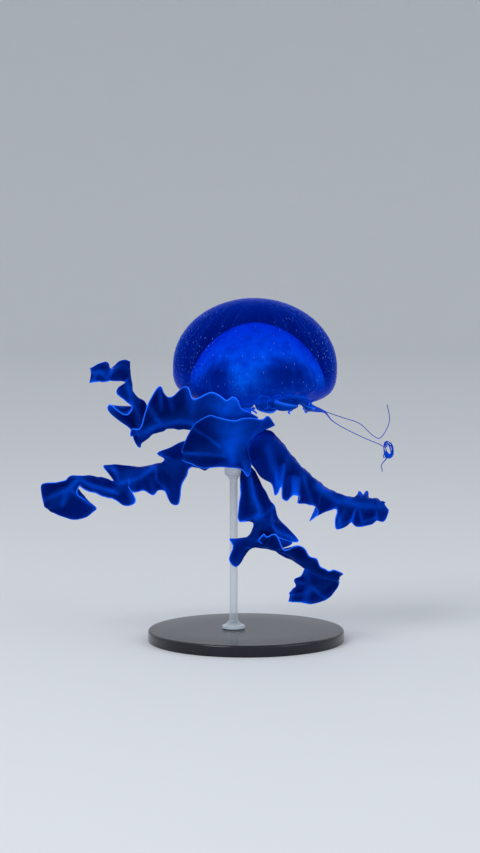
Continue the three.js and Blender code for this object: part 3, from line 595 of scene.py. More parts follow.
def wart_material(tint):
    """Small dense warts, a little uneven in colour, with a faint painted glow of their own colour."""
    material, board, shader = new_material("nettle warts")
    where = board.node("ShaderNodeTexCoord").outputs["Object"]
    speck = board.noise(where, 260, 2, 0.6)
    shade = board.mixed(speck, tuple(c * 0.6 for c in tint), tint)
    feed(
        board, shader, Base_Color=shade, Roughness=(0.25 + speck * 0.2), Emission_Color=shade,
        Emission_Strength=0.35, Coat_Weight=0.4,
    )
    return material


def acrylic_material(name, tint, haze, body=1.0):
    """Polished acrylic with a faint waviness, fine wipe marks and a little dust."""
    material, board, shader = new_material(name)
    where = board.node("ShaderNodeTexCoord").outputs["Object"]
    wipes = board.noise(board.stretched(where, (1, 9, 1)), 160, 4, 0.6)
    waves = board.noise(where, 18, 2, 0.4)
    dust = board.noise(where, 900, 2, 0.7).between(0.62, 0.8)
    shade = board.mixed(dust * 0.25, tint, tuple(min(1, c + 0.18) for c in tint))
    bump = board.out("ShaderNodeBump", 0, None, {"Strength": 0.08, "Distance": 0.0003, "Height": waves})
    feed(
        board, shader, Base_Color=shade, Roughness=(haze + wipes * 0.08 + dust * 0.2), Normal=bump,
        Specular_Tint=(0.4, 0.42, 0.46), Coat_Weight=0.1, Coat_Roughness=0.04,
    )
    if body < 1:
        feed(board, shader, Alpha=seen_at_a_slant(board, body))
    return material


def stage_material(tint):
    """A plain matt surface with a grain that barely shows."""
    material, board, shader = new_material("plain stage")
    where = board.node("ShaderNodeTexCoord").outputs["Object"]
    grain = board.noise(where, 14, 3, 0.5)
    shade = board.mixed(grain, tuple(c * 0.98 for c in tint), tint)
    feed(board, shader, Base_Color=shade, Roughness=0.75)
    return material


# ---- mesh helpers --------------------------------------------------------------------------------
def shown(name, data):
    """A new object of the scene for a mesh, a lamp or a camera."""
    item = bpy.data.objects.new(name, data)
    bpy.context.scene.collection.objects.link(item)
    return item


def add_values(mesh, attributes):
    """Adds number attributes to a mesh's vertices."""
    for key, values in attributes.items():
        mesh.attributes.new(key, "FLOAT", "POINT").data.foreach_set("value", np.asarray(values, np.float32))


def mesh_object(name, vertices, faces, materials=(), attributes=None, lie=None):
    """A smooth-shaded mesh object in the scene, with number attributes on its vertices."""
    mesh = bpy.data.meshes.new(name)
    mesh.from_pydata([tuple(v) for v in vertices], [], [tuple(int(i) for i in f) for f in faces])
    for material in materials:
        mesh.materials.append(material)
    add_values(mesh, attributes or {})
    if lie is not None:
        layer = mesh.uv_layers.new(name="Lie")
        corners = np.zeros(len(mesh.loops), np.int32)
        mesh.loops.foreach_get("vertex_index", corners)
        layer.data.foreach_set("uv", np.asarray(lie, np.float32)[corners].ravel())
    mesh.shade_smooth()
    mesh.update()
    return shown(name, mesh)


def ring_faces(rings, size):
    """Quads between neighbouring rings of the same size."""
    r, k = np.meshgrid(np.arange(rings - 1), np.arange(size), indexing="ij")
    a = r * size + k
    b = r * size + (k + 1) % size
    return np.stack([a, b, b + size, a + size], -1).reshape(-1, 4)


def capped_faces(rings, size):
    """Quads between rings, and a fan at each end from the two poles that come after the rings."""
    count = rings * size
    faces = [tuple(f) for f in ring_faces(rings, size)]
    faces += [(count, (k + 1) % size, k) for k in range(size)]
    return faces + [(count + 1, count - size + k, count - size + (k + 1) % size) for k in range(size)]


def round_points(r, angle, z):
    """Points at a distance from an upright axis, an angle round it and a height."""
    return np.stack(np.broadcast_arrays(r * np.cos(angle), r * np.sin(angle), z), -1)


def outward(vertices, faces):
    """The faces, turned round if they enclose a negative volume."""
    v = np.asarray(vertices)
    volume = 0.0
    for face in faces:
        a, rest = v[face[0]], v[list(face[1:])]
        volume += float((np.cross(rest[:-1], rest[1:]) @ a).sum())
    return [tuple(reversed(f)) for f in faces] if volume < 0 else [tuple(f) for f in faces]


def smooth_curve(points, stations):
    """Points of a smooth curve at station numbers from 0 to len(points) - 1."""
    p = np.asarray(points, float)
    padded = np.vstack([2 * p[0] - p[1], p, 2 * p[-1] - p[-2]])
    s = np.clip(np.asarray(stations, float), 0, len(p) - 1)
    i = np.minimum(s.astype(int), len(p) - 2)
    t = (s - i)[..., None]
    a, b, c, d = padded[i], padded[i + 1], padded[i + 2], padded[i + 3]
    return 0.5 * (2 * b + (c - a) * t + (2 * a - 5 * b + 4 * c - d) * t**2 + (3 * b - a - 3 * c + d) * t**3)


def unit(vectors):
    """The vectors, each made 1 long."""
    return vectors / np.maximum(np.linalg.norm(vectors, axis=-1, keepdims=True), 1e-9)


def placed(points):
    """Millimetres from the mouth to metres in the frame."""
    return np.asarray(points) * MM + np.array(MOUTH)


def bell_placed(points):
    """Millimetres from the bell's centre to metres in the frame."""
    turn = np.array(BELL_TURN.to_matrix())
    return placed(np.asarray(points) @ turn.T + BELL_CENTRE)


# ---- the bell ------------------------------------------------------------------------------------
BELL_SEGMENTS = 256
CROWN_RINGS, SKIRT_RINGS, LAPPET_RINGS, HOLLOW_RINGS = 26, 12, 20, 26
LAPPET_WALL = 0.8
# Painted shade in the lining, dark patches that stand for darkness seen through it: [at, half as wide,
# lowest, highest], in degrees and radians.
SHADED_PATCHES = [
    [-63, 38, -0.2, 0.72], [-129, 23, -0.2, 0.62], [107, 30, -0.2, 0.7], [60, 16, -0.1, 0.55],
    [14, 12, -0.1, 0.4], [152, 13, -0.1, 0.45],
]
SCROLLS_AT, SCROLLS_SPREAD = 304, 36  # where the lappets in front are drawn into scrolls, in degrees
# The lappets carry painted shade that darkens their curls as if in shadow, and a little painted glow.
LAPPET_FLESH = {"tissue": 0.2, "stop": 0.94, "glow": 0.1, "shade": 0.6}
# The values of the skin at the crown and at the roof of the hollow.
BELL_POLES = {"tissue": (0, 0.85), "stop": (0, 0.5), "glow": (0, 0.85), "deep": (0, 1)}


def round_steps(count):
    """Angles of equal steps once round."""
    return np.arange(count) * 2 * math.pi / count


def outer_radius(z, radius):
    """How wide the bell is at a height."""
    if z >= 0:
        return radius * math.sqrt(max(0, 1 - (z / CROWN) ** 2))
    return radius * (1 - (-z / SKIRT) ** SKIRT_POWER) ** (1 / SKIRT_POWER)


def hollow_radius(turn):
    """How wide the hollow is. Its turn goes from 0 at its floor to a quarter turn at its roof."""
    return HOLLOW["radius"] * max(0, math.cos(turn)) ** (2 / HOLLOW["power"])


def hollow_height(turn):
    """The height of the hollow's wall at a turn."""
    return HOLLOW["floor"] + HOLLOW["height"] * np.sin(turn) ** (2 / HOLLOW["power"])


def lappet_reach(angle):
    """How far a lappet reaches, as a share of its length: not at all in the clefts."""
    return np.abs(np.sin(angle * LAPPETS / 2)) ** 0.5


def smooth_step(value, low, high):
    """0 below low and 1 above high, with a smooth step between them."""
    rise = np.clip((np.asarray(value, float) - low) / (high - low), 0, 1)
    return rise * rise * (3 - 2 * rise)


def near_angle(angle, middle, spread):
    """1 at an angle round the bell, falling to 0 on either side. middle and spread are in degrees."""
    turn = angle - math.radians(middle)
    turn = np.degrees(np.arctan2(np.sin(turn), np.cos(turn)))
    return np.exp(-((turn / spread) ** 2))


def rim_lift(angle, z):
    """How far the rim is drawn up."""
    low = smooth_step(-np.asarray(z), LIFTED_BELOW, -MARGIN_Z)
    return low * sum(height * near_angle(angle, at, spread) for at, spread, height, _ in LIFTS)


def shaded_patches(angle, turn):
    """Painted shade low in the hollow's lining: dark patches, which also take away its glow."""
    dark = np.zeros_like(angle)
    for middle, half, low, high in SHADED_PATCHES:
        away = angle - math.radians(middle)
        away = np.abs(np.arctan2(np.sin(away), np.cos(away))) / math.radians(half)
        tall = abs(turn - (low + high) / 2) / ((high - low) / 2)
        dark = np.maximum(dark, 1 - smooth_step(np.hypot(away, tall), 0.15, 1.15))
    return dark


def lappet_middle(angle):
    """The angle round the bell at which the lappet over an angle has its middle."""
    return (np.floor(angle * LAPPETS / (2 * math.pi)) + 0.5) * 2 * math.pi / LAPPETS


def lappet_profile(angle):
    """Where each of a lappet's rings lies: in from the margin, above it, how far bent and how far twisted.

    A lappet bends by more and more towards its tip. Those drawn up in front roll outwards into scrolls
    and twist about their own length.
    """
    lappet = np.floor(angle * LAPPETS / (2 * math.pi)).astype(int)
    middle = (np.arange(LAPPETS) + 0.5) * 2 * math.pi / LAPPETS
    chance = np.random.default_rng(11)
    drawn = near_angle(middle, SCROLLS_AT, SCROLLS_SPREAD)
    loose, tight = chance.uniform(0.4, 1.6, LAPPETS), chance.uniform(3.6, 5.0, LAPPETS)
    curl = ((1 - drawn) * loose - drawn * tight)[lappet]
    turn = np.where(np.arange(LAPPETS) % 2 == 0, 1, -1) * chance.uniform(1.0, 2.0, LAPPETS) * drawn
    drawn, turn = drawn[lappet], turn[lappet]
    short = sum(cut * near_angle(angle, at, spread) for at, spread, _, cut in LIFTS)
    reach = lappet_reach(angle) * (1 - short)
    total = LAPPET_LENGTH * 1.12 * (1 + 1.4 * drawn**2) * reach
    lean = math.atan2(LAPPET_TUCK, LAPPET_LENGTH) * (1 - drawn)
    inwards, up = np.zeros(len(angle)), np.zeros(len(angle))
    rings = []
    for i in range(1, LAPPET_RINGS + 1):
        down = i / LAPPET_RINGS
        bend = lean + curl * reach**0.5 * down ** (1.3 + 0.3 * drawn)
        inwards = inwards + np.sin(bend) * total / LAPPET_RINGS
        up = up - np.cos(bend) * total / LAPPET_RINGS
        rings.append((inwards, up, bend, turn * reach * smooth_step(down, 0, 0.8)))
    return rings, reach


def bell_mesh(radius):
    """Vertices, faces and tissue of the bell, ring by ring from the crown to the top of the hollow."""
    angle = round_steps(BELL_SEGMENTS)
    margin = outer_radius(MARGIN_Z, radius)
    axis = margin * np.exp(1j * lappet_middle(angle))
    rings = []
    found = {"tissue": [], "stop": [], "rim": [], "glow": [], "shade": [], "deep": []}
    level = 0.0  # rings from here on are drawn up as if they lay at least this low

    def ring(r, z, lifted=1.0, shift=0.0, twist=0.0, **flesh):
        r, z = np.broadcast_to(r, angle.shape), np.broadcast_to(z, angle.shape)
        z = z + rim_lift(angle, np.minimum(z, level)) * lifted
        place = axis + (r * np.exp(1j * angle) - axis) * np.exp(1j * twist)
        rings.append(np.stack([place.real + shift, place.imag, z], -1))
        for key, values in found.items():
            values.append(np.broadcast_to(flesh.get(key, 0), angle.shape).astype(float))

    for i in range(1, CROWN_RINGS + 1):
        turn = i / CROWN_RINGS * math.pi / 2
        ring(radius * math.sin(turn), CROWN * math.cos(turn))
    for i in range(1, SKIRT_RINGS + 1):
        down = i / SKIRT_RINGS
        z = MARGIN_Z * math.sin(down * math.pi / 2)
        ring(outer_radius(z, radius), z, tissue=0.5 * down**3, stop=0.95 * down**0.9)

    profile, reach = lappet_profile(angle)
    steps = list(enumerate(profile, 1))
    level = MARGIN_Z
    for thick, order in ((0, steps), (LAPPET_WALL, steps[::-1])):
        for down, (inwards, up, bend, twist) in order:
            # edge sets where a painted highlight runs along a lappet's free edge.
            edge = reach * smooth_step(down / LAPPET_RINGS, 0.86, 0.97)
            wall = thick * (1 - 0.35 * down / LAPPET_RINGS)
            r = margin - inwards - np.cos(bend) * wall
            z = MARGIN_Z + up - 0.05 + np.sin(bend) * wall
            ring(r, z, twist=twist, rim=edge, **LAPPET_FLESH)
    for r, z, lifted, shift, tissue, stop, shade in (
        (margin - 1.9, MARGIN_Z + 0.6, 1.0, 0.0, 0.45, 0.9, 0),
        (HOLLOW["radius"] - 3.6, HOLLOW["floor"] - 5.6, 0.75, 0.8, 0.45, 0.85, 0),
        (HOLLOW["radius"] - 1.8, HOLLOW["floor"] - 3.6, 0.6, 1.4, 0.5, 0.8, shaded_patches(angle, 0)),
    ):
        ring(r, z, lifted, shift, tissue=tissue, stop=stop, glow=0.2, shade=shade)
    for i in range(HOLLOW_RINGS):
        turn = i / HOLLOW_RINGS * math.pi / 2
        # Painted shade darkens the lining here and takes away its glow.
        dark = shaded_patches(angle, turn)
        # Painted glow in the lining, growing towards the roof of the hollow.
        light = 0.3 + 0.55 * math.sin(turn)
        dense = (0.85 - 0.5 * dark) * (0.35 + 0.65 * smooth_step(turn, 0, 0.3))
        ring(
            hollow_radius(turn), hollow_height(turn), 0.5 * (1 - smooth_step(turn, 0, 0.6)),
            2 * math.cos(turn), tissue=dense, stop=0.92 - 0.42 * smooth_step(turn, 0.1, 0.75),
            glow=light * (1 - dark), shade=dark, deep=1,
        )

    poles = [(0, 0, CROWN), (0, 0, HOLLOW["floor"] + HOLLOW["height"])]
    vertices = np.concatenate([*rings, poles])
    values = {key: np.append(np.concatenate(found[key]), BELL_POLES.get(key, (0, 0))) for key in found}
    around = np.tile(angle / (2 * math.pi), len(rings))
    down = np.repeat(np.arange(len(rings)) / len(rings), BELL_SEGMENTS)
    lie = np.concatenate([np.stack([around, down], -1), [(0.5, 0), (0.5, 1)]])
    return bell_placed(vertices), capped_faces(len(rings), BELL_SEGMENTS), values, lie


# ---- the trunk and the gonads ----------------------------------------------------------------------
TRUNK_SIDES, TRUNK_RINGS = 48, 70
TRUNK_DENSEST, TRUNK_DENSE_REACH = 18, 16  # the height where the foot is densest, and how far that goes


def trunk_mesh():
    """Vertices, faces and tissue of the trunk, folded lengthways and closed at both ends."""
    z, radius, lean = smooth_curve(TRUNK_STEPS, np.linspace(0, len(TRUNK_STEPS) - 1, TRUNK_RINGS)).T
    angle = round_steps(TRUNK_SIDES)
    folds = 1 + 0.12 * np.cos(4 * angle)[None, :] + 0.035 * np.sin(11 * angle[None, :] + z[:, None] * 0.12)
    rings = round_points(np.maximum(radius, 0.4)[:, None] * folds, angle, z[:, None])
    rings[..., 0] += lean[:, None]
    vertices = np.concatenate([rings.reshape(-1, 3), rings[0].mean(0)[None], rings[-1].mean(0)[None]])
    low = np.repeat(np.exp(-(((z - TRUNK_DENSEST) / TRUNK_DENSE_REACH) ** 2)), TRUNK_SIDES)
    values = {
        "tissue": np.append(0.55 + 0.3 * low, (0.6, 0.9)),
        "stop": np.full(len(vertices), 0.5),
        # The trunk's painted glow is strongest where it is densest.
        "glow": np.append(0.4 + 0.6 * low, (0.4, 1)),
    }
    lie = np.stack([np.tile(angle / (2 * math.pi), TRUNK_RINGS), np.repeat(z / 90, TRUNK_SIDES)], -1)
    lie = np.concatenate([lie, [(0.5, 1), (0.5, 0)]])
    return placed(vertices), capped_faces(TRUNK_RINGS, TRUNK_SIDES), values, lie


def gonad_path(index, count=60):
    """A horseshoe that follows the roof of the hollow round one quarter of the trunk."""
    side = np.linspace(-1, 1, count)
    angle = math.pi / 4 + index * math.pi / 2 + side * GONADS["span"] / 2
    ring = GONADS["ring"] - GONADS["dip"] * side**2
    turn = np.arccos((ring / HOLLOW["radius"]) ** (HOLLOW["power"] / 2))
    return round_points(ring, angle, hollow_height(turn) - GONADS["drop"])


# ---- the veils of the oral arms and lips -----------------------------------------------------------
ACROSS_INNER = 22  # samples between the two beads
BEAD_STEPS = np.array([0.0, 0.16, 0.4, 0.7, 1.1])  # distances from a free edge, in millimetres
STATION_STEP = 0.07
ROOT_RINGS = 6
PLEAT_STEPS = 3  # how many rings off on either side the turn of a free edge is measured
# Where the veils back onto the trunk they are thick: [heights], [middles], [half widths].
TRUNK_BACKING = [
    [3, 7, 14, 20, 29, 45], [-3.4, -3.4, -5.5, -3.8, -6.5, -7], [3, 3.8, 6.5, 9, 17, 20],
]
LOW_JOIN = 12  # arms that join the trunk below this height leave it thin
SOLID_EDGE, SOLID_RIB = 0.75, 2.4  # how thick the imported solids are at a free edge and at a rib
# The bead along a free edge carries a painted highlight (rim), and the border within it a painted bright band
# (halo).
BORDER_REACH, HALO_REACH = 0.33, 1.8  # how far in from a free edge the bead's and the border's looks go
RIB_REACH = 0.34  # how far out from the rib its looks go, as a share of the veil's half width
# What each feature of a veil adds to its density, to the light one face stops and to its painted glow: the
# pleats carry a painted highlight and the halo a painted bright band near the free edge.
VEIL_FLESH = {
    "tissue": {
        "film": 0.03, "rib": 0.22, "halo": 0.26, "root": 0.16, "core": 0.52, "pleat_highlight": 0.55, "crease": 0.3,
    },
    "stop": {"film": 0.2, "rib": 0.1, "halo": 0.12, "root": 0.1, "core": 0.42, "pleat_highlight": 0.3, "crease": 0.2},
    "glow": {"rib": 0.15, "halo": 0.15, "root": 0.15, "core": 0.22, "pleat_highlight": 0.4, "crease": 0.18},
}


def wing_share(v):
    """How far out between the rib and a free edge a veil's point lies, softly bent over the rib."""
    return (v + np.hypot(v, FOLD_SOFTNESS) + 1 - math.hypot(1, FOLD_SOFTNESS)) / 2


def veil_points(arm, crimp, station, v):
    """Points of the veil's middle: station runs along the rib, and v from one free edge to the other."""
    def swept(p):
        p = np.asarray(p, float)
        reach = arm["sweep"] * np.abs(p[:, :1])
        return p + np.hstack([np.zeros_like(reach), reach, -DROOP * reach])

    last = len(arm["rib"]) - 1
    rib = swept(arm["rib"])
    s = np.asarray(station, float)
    start = smooth_curve(rib, s)
    along = unit(smooth_curve(rib, np.minimum(last, s + 0.05)) - smooth_curve(rib, np.maximum(0, s - 0.05)))
    point = np.repeat(start[:, None, :], v.shape[1], 1)
    for side, turns in zip((1, -1), arm["wings"]):
        turns = np.asarray(turns, float)
        edge = smooth_curve(swept(turns[:, 1:]), np.interp(s, turns[:, 0], np.arange(len(turns))))
        reach = edge - start
        across = unit(np.cross(along, reach))
        out = np.maximum(0, side * v)
        wave = arm["wave"] * out**2 * np.sin(2 * math.pi * arm["waves"] * s / last + side)[:, None]
        fine = crimp * out**5 * np.sin(2 * math.pi * arm["waves"] * 2.3 * s / last + 2 * side)[:, None]
        point = point + reach[:, None, :] * wing_share(side * v)[..., None]
        point = point + across[:, None, :] * (wave + fine)[..., None]
    return point


def root_rings(face, join):
    """Rings that carry one face of a veil on from its root into the trunk, narrowing as they go."""
    middle = face[0].mean(0)
    way = np.linspace(1, 0, ROOT_RINGS, endpoint=False)[:, None, None]
    return middle + (np.array(join) - middle) * way + (face[0] - middle) * (1 - 0.75 * way)


def pleats(edges, width):
    """How sharply each half of a veil is pleated: as its free edge turns, from 0 to 1."""
    strength = np.zeros((len(edges), width))
    soft = np.array([0.06, 0.24, 0.4, 0.24, 0.06])
    n = PLEAT_STEPS
    for side, columns in ((0, slice(0, width // 2)), (1, slice(width // 2, width))):
        edge = np.pad(edges[:, side], ((n, n), (0, 0)), "edge")
        before, after = unit(edge[n:-n] - edge[: -2 * n]), unit(edge[2 * n :] - edge[n:-n])
        turn = np.arccos(np.clip((before * after).sum(-1), -1, 1))
        strength[:, columns] = np.convolve(smooth_step(turn, 0.5, 2.0), soft, "same")[:, None]
    return strength


def creased(x, z, creases):
    """How far a veil lies doubled along its creases, seen from the front: from 0 to 1."""
    found = np.zeros_like(x)
    for width, line in creases:
        for (x0, z0), (x1, z1) in zip(line[:-1], line[1:]):
            run = math.hypot(x1 - x0, z1 - z0)
            along = (((x - x0) * (x1 - x0) + (z - z0) * (z1 - z0)) / run**2).clip(0, 1)
            away = np.hypot(x - x0 - along * (x1 - x0), z - z0 - along * (z1 - z0))
            found = np.maximum(found, np.exp(-((away / width) ** 2)))
    return found


def veil_mesh(arm, sizes):
    """A closed veil with a rounded bead along both free edges, thickest at its rib."""
    last = len(arm["rib"]) - 1
    stations = np.linspace(0, last, int(last / STATION_STEP) + 1)
    coarse = np.broadcast_to(np.linspace(-1, 1, 97), (len(stations), 97))
    rough = veil_points(arm, 0, stations, coarse)
    run = np.concatenate(
        [np.zeros((len(stations), 1)), np.linalg.norm(np.diff(rough, axis=1), axis=-1).cumsum(1)], 1
    )
    whole = run[:, -1:]
    bead = BEAD_STEPS[None, :] * np.minimum(1, whole / (4 * BEAD_STEPS[-1]))
    middle = np.linspace(0, 1, ACROSS_INNER + 2)[None, 1:-1]
    inner = bead[:, -1:] + (whole - 2 * bead[:, -1:]) * middle
    wanted = np.concatenate([bead, inner, (whole - bead)[:, ::-1]], 1)
    v = np.stack([np.interp(w, r, coarse[0]) for w, r in zip(wanted, run)])
    points = veil_points(arm, sizes["crimp"], stations, v)
    far = np.minimum(wanted, whole - wanted)
    normal = unit(np.cross(np.gradient(points, axis=0), np.gradient(points, axis=1)))

    solid_depth = SOLID_EDGE + (SOLID_RIB - SOLID_EDGE) * (1 - np.abs(v)) ** 2
    half = sizes["bead"] / 2
    round_edge = sizes["bead"] * np.sqrt(np.clip(1 - ((half - far).clip(0) / half) ** 2, 0.04, 1))
    swell = np.exp(-(((far - half) / (0.8 * half)) ** 2))
    film = sizes["edge"] + (sizes["rib"] - sizes["edge"]) * (1 - np.abs(v)) ** 3
    depth = np.where(far < half, round_edge, film + (sizes["bead"] - film).clip(0) * swell)
    near = points + normal * ((solid_depth - depth) / 2)[..., None]
    outer = near + normal * depth[..., None]
    near, outer = (np.concatenate([root_rings(side, arm["join"]), side]) for side in (near, outer))
    stations = np.concatenate([np.zeros(ROOT_RINGS), stations])
    v, far = (np.concatenate([np.repeat(a[:1], ROOT_RINGS, 0), a]) for a in (v, far))

    count, width = near.shape[:2]
    rings = np.concatenate([near, outer[:, ::-1]], 1)
    faces = [tuple(f) for f in ring_faces(count, 2 * width)]
    for ring, turned in ((0, True), (count - 1, False)):
        start = ring * 2 * width
        for k in range(width - 1):
            quad = (start + k, start + k + 1, start + 2 * width - 2 - k, start + 2 * width - 1 - k)
            faces.append(tuple(reversed(quad)) if turned else quad)

    joined_on = smooth_step(stations, arm["free_from"] - 0.1, arm["free_from"] + 0.4)[:, None]
    x, z = near[..., 0], near[..., 2]
    heights, middles, halves = TRUNK_BACKING
    core = np.exp(-(((x - np.interp(z, heights, middles)) / np.interp(z, heights, halves)) ** 2))
    core = core * smooth_step(z, 1.5, 5.5) * smooth_step(-stations, -3.5, -1)[:, None]
    core = core * (1 - 0.4 * smooth_step(z, 24, 34))
    edges = veil_points({**arm, "wave": 0}, 0, stations[ROOT_RINGS:], np.tile((-1.0, 1.0), (len(points), 1)))
    # A painted highlight along the pleats, where the veil turns as if seen edge-on.
    pleat_highlight = pleats(edges, points.shape[1])
    pleat_highlight = np.concatenate([np.repeat(pleat_highlight[:1], ROOT_RINGS, 0), pleat_highlight]) * smooth_step(np.abs(v), 0.05, 0.75)
    features = {
        "film": np.ones_like(v),
        "rib": np.exp(-((v / RIB_REACH) ** 2)),
        "halo": np.exp(-((far / HALO_REACH) ** 2)) * joined_on,
        "root": np.exp(-stations / 1.0)[:, None],
        "core": core,
        "pleat_highlight": pleat_highlight,
        "crease": creased(x, z, arm["creases"]),
    }
    if arm["join"][2] < LOW_JOIN:
        features.update(core=0, root=0)

    def both_faces(values):
        return np.concatenate([values, values[:, ::-1]], 1).ravel()

    values = {"rim": both_faces(np.exp(-((far / BORDER_REACH) ** 2)) * joined_on)}
    for key, shares in VEIL_FLESH.items():
        values[key] = both_faces(sum(share * features[name] for name, share in shares.items()))
    along = np.broadcast_to((stations * 0.35)[:, None], v.shape)
    lie = np.stack([both_faces(along), both_faces(v)], -1)
    return placed(rings.reshape(-1, 3)), faces, values, lie


# ---- tentacles -------------------------------------------------------------------------------------
THREAD_SIDES = 10


def curl_path(index, count=90):
    """A drawn-in tentacle: it droops from the margin and winds as it tapers."""
    way = np.linspace(0, 1, count)
    angle = 2 * math.pi * index / TENTACLE_COUNT
    turn = 1 if index % 2 else -1
    wind = turn * way * SHORT_CURL["turns"] * 2 * math.pi
    swing = SHORT_CURL["swing"] * np.sin(wind) * way**0.5
    radius = SHORT_CURL["ring"] + 2 * np.cos(wind) * way
    drop = SHORT_CURL["length"] * way * (0.75 + 0.1 * (index % 3))
    across = swing * math.sin(angle), swing * math.cos(angle)
    return np.stack(
        [radius * math.cos(angle) - across[0], radius * math.sin(angle) + across[1], MARGIN_Z - 1 - drop], -1
    )


def new_tree(name, inputs, output):
    """An empty tree of Geometry Nodes: its board, what is given to it and the socket of its result."""
    tree = bpy.data.node_groups.new(name, "GeometryNodeTree")
    for key, kind in inputs.items():
        tree.interface.new_socket(key, in_out="INPUT", socket_type=f"NodeSocket{kind}")
    tree.interface.new_socket(output, in_out="OUTPUT", socket_type="NodeSocketGeometry")
    board = Board(tree)
    return board, board.node("NodeGroupInput").outputs, board.node("NodeGroupOutput").inputs[output]


def handed_on(board, geometry, material, result):
    """The tree, once it makes geometry real, gives it its material and sends it out."""
    real = board.out("GeometryNodeRealizeInstances", 0, None, {"Geometry": geometry})
    done = board.out("GeometryNodeSetMaterial", 0, None, {"Geometry": real, "Material": material})
    board.tree.links.new(done.socket, result)
    return board.tree


def thread_tree():
    """Geometry Nodes that turn lines of points into round, tapering threads."""
    inputs = {"Lines": "Geometry", "Sides": "Int", "Finish": "Material"}
    board, given, result = new_tree("round threads", inputs, "Threads")
    curve = board.out("GeometryNodeMeshToCurve", 0, None, {"Mesh": given["Lines"]})
    girth = board.out("GeometryNodeInputNamedAttribute", 0, {"data_type": "FLOAT"}, {"Name": "girth"})
    outline = board.out(
        "GeometryNodeCurvePrimitiveCircle", 0, None, {"Resolution": given["Sides"], "Radius": 1.0}
    )
    tube = board.out(
        "GeometryNodeCurveToMesh", 0, None,
        {"Curve": curve, "Profile Curve": outline, "Scale": girth, "Fill Caps": True},
    )
    return handed_on(board, tube, given["Finish"], result)


def socket_id(tree, name):
    """The key under which a modifier holds an input of its tree."""
    return next(i.identifier for i in tree.interface.items_tree if i.name == name and i.in_out == "INPUT")


def grown(item, tree, inputs, name):
    """What a tree of Geometry Nodes makes of an object, as a plain mesh object in its place."""
    modifier = item.modifiers.new("grow", "NODES")
    modifier.node_group = tree
    for key, value in inputs.items():
        modifier[socket_id(tree, key)] = value
    graph = bpy.context.evaluated_depsgraph_get()
    evaluated = item.evaluated_get(graph)
    mesh = bpy.data.meshes.new_from_object(evaluated, preserve_all_data_layers=True, depsgraph=graph)
    item.modifiers.remove(modifier)
    bpy.data.objects.remove(item)
    mesh.name = name
    mesh.shade_smooth()
    if not mesh.polygons:
        raise RuntimeError(f"{name} came out empty")
    return shown(name, mesh)


def thread_lines(lines):
    """One object of open lines with a girth, a tissue and a glow at each point."""
    points, edges = [], []
    values = {"girth": [], "tissue": [], "glow": []}
    for path, *found in lines:
        first = len(points)
        points.extend(path)
        edges.extend((first + k, first + k + 1) for k in range(len(path) - 1))
        for key, numbers in zip(values, found):
            values[key].extend(numbers)
    values["stop"] = [0.5] * len(points)
    mesh = bpy.data.meshes.new("thread lines")
    mesh.from_pydata([tuple(p) for p in points], edges, [])
    add_values(mesh, values)
    return shown("thread lines", mesh)


def clump_path(start, count=150):
    """The soft tangle of loops that a long tentacle ends in, with its tail, and how thick it is."""
    way = np.linspace(0, 1, count)[:, None]
    turn = 2 * math.pi * CLUMP["turns"] * way + 2.6
    wide, tall = CLUMP["wide"], CLUMP["tall"]
    loops = np.hstack(
        [
            wide * np.cos(turn) * (0.72 + 0.28 * np.sin(0.7 * turn)) - 0.16 * tall * np.sin(turn),
            0.6 * wide * np.sin(0.8 * turn), tall * np.sin(turn) * (0.82 + 0.18 * np.cos(0.6 * turn)),
        ]
    )
    blend = smooth_step(way, 0, 0.1)
    path = np.array(start) * (1 - blend) + (np.array(CLUMP["at"]) + loops) * blend
    low = smooth_step(-loops[:, 2], 0, tall)
    thick = blend[:, 0] * (0.12 + 0.46 * low + 0.1 * np.sin(3.1 * turn[:, 0]))
    tail = np.linspace(0, 1, 26)[1:, None]
    hanging = path[-1] * (1 - tail) + np.array(CLUMP["tail"]) * tail
    hanging[:, 0] += 0.8 * np.sin(tail[:, 0] * math.pi * 2.5)
    return np.concatenate([path, hanging]), np.concatenate([thick, thick[-1] * (1 - tail[:, 0]) ** 4])


def long_thread(index, places):
    """One of the long tentacles: its points, radius in metres, tissue and glow."""
    path = smooth_curve(places, np.linspace(0, len(places) - 1, 200))
    knot = np.zeros(len(path))
    if index == 0:
        tangle, thick = clump_path(path[-1])
        path, knot = np.concatenate([path, tangle[1:]]), np.concatenate([knot, thick[1:]])
    way = np.linspace(0, 1, len(path))
    beads = 1 + 0.35 * np.sin(way * 2 * math.pi * LONG_BEADS) ** 2
    root = LONG_ROOTS[index] * np.exp(-((way / 0.075) ** 2))
    width = (LONG_RADIUS + root) * beads + knot
    upper = 0.3 * np.exp(-way * 8)
    return bell_placed(path), width * MM, 0.3 + upper + 0.4 * knot, 0.12 + upper + 0.3 * knot


def short_thread(index):
    """One of the drawn-in tentacles: its points, radius in metres, tissue and glow."""
    path = curl_path(index)
    way = np.linspace(0, 1, len(path))
    beads = 1 + 0.22 * np.sin(way * 2 * math.pi * SHORT_CURL["beads"]) ** 2
    width = (SHORT_CURL["root"] + (SHORT_CURL["tip"] - SHORT_CURL["root"]) * way) * beads
    return bell_placed(path), width * MM, 0.5 + 0.3 * way, 0.5 + 0.4 * way


def even_thread(path, width, dense, light):
    """A thread whose tissue and glow are the same all along."""
    return bell_placed(path), width * MM, np.full(len(path), dense), np.full(len(path), light)


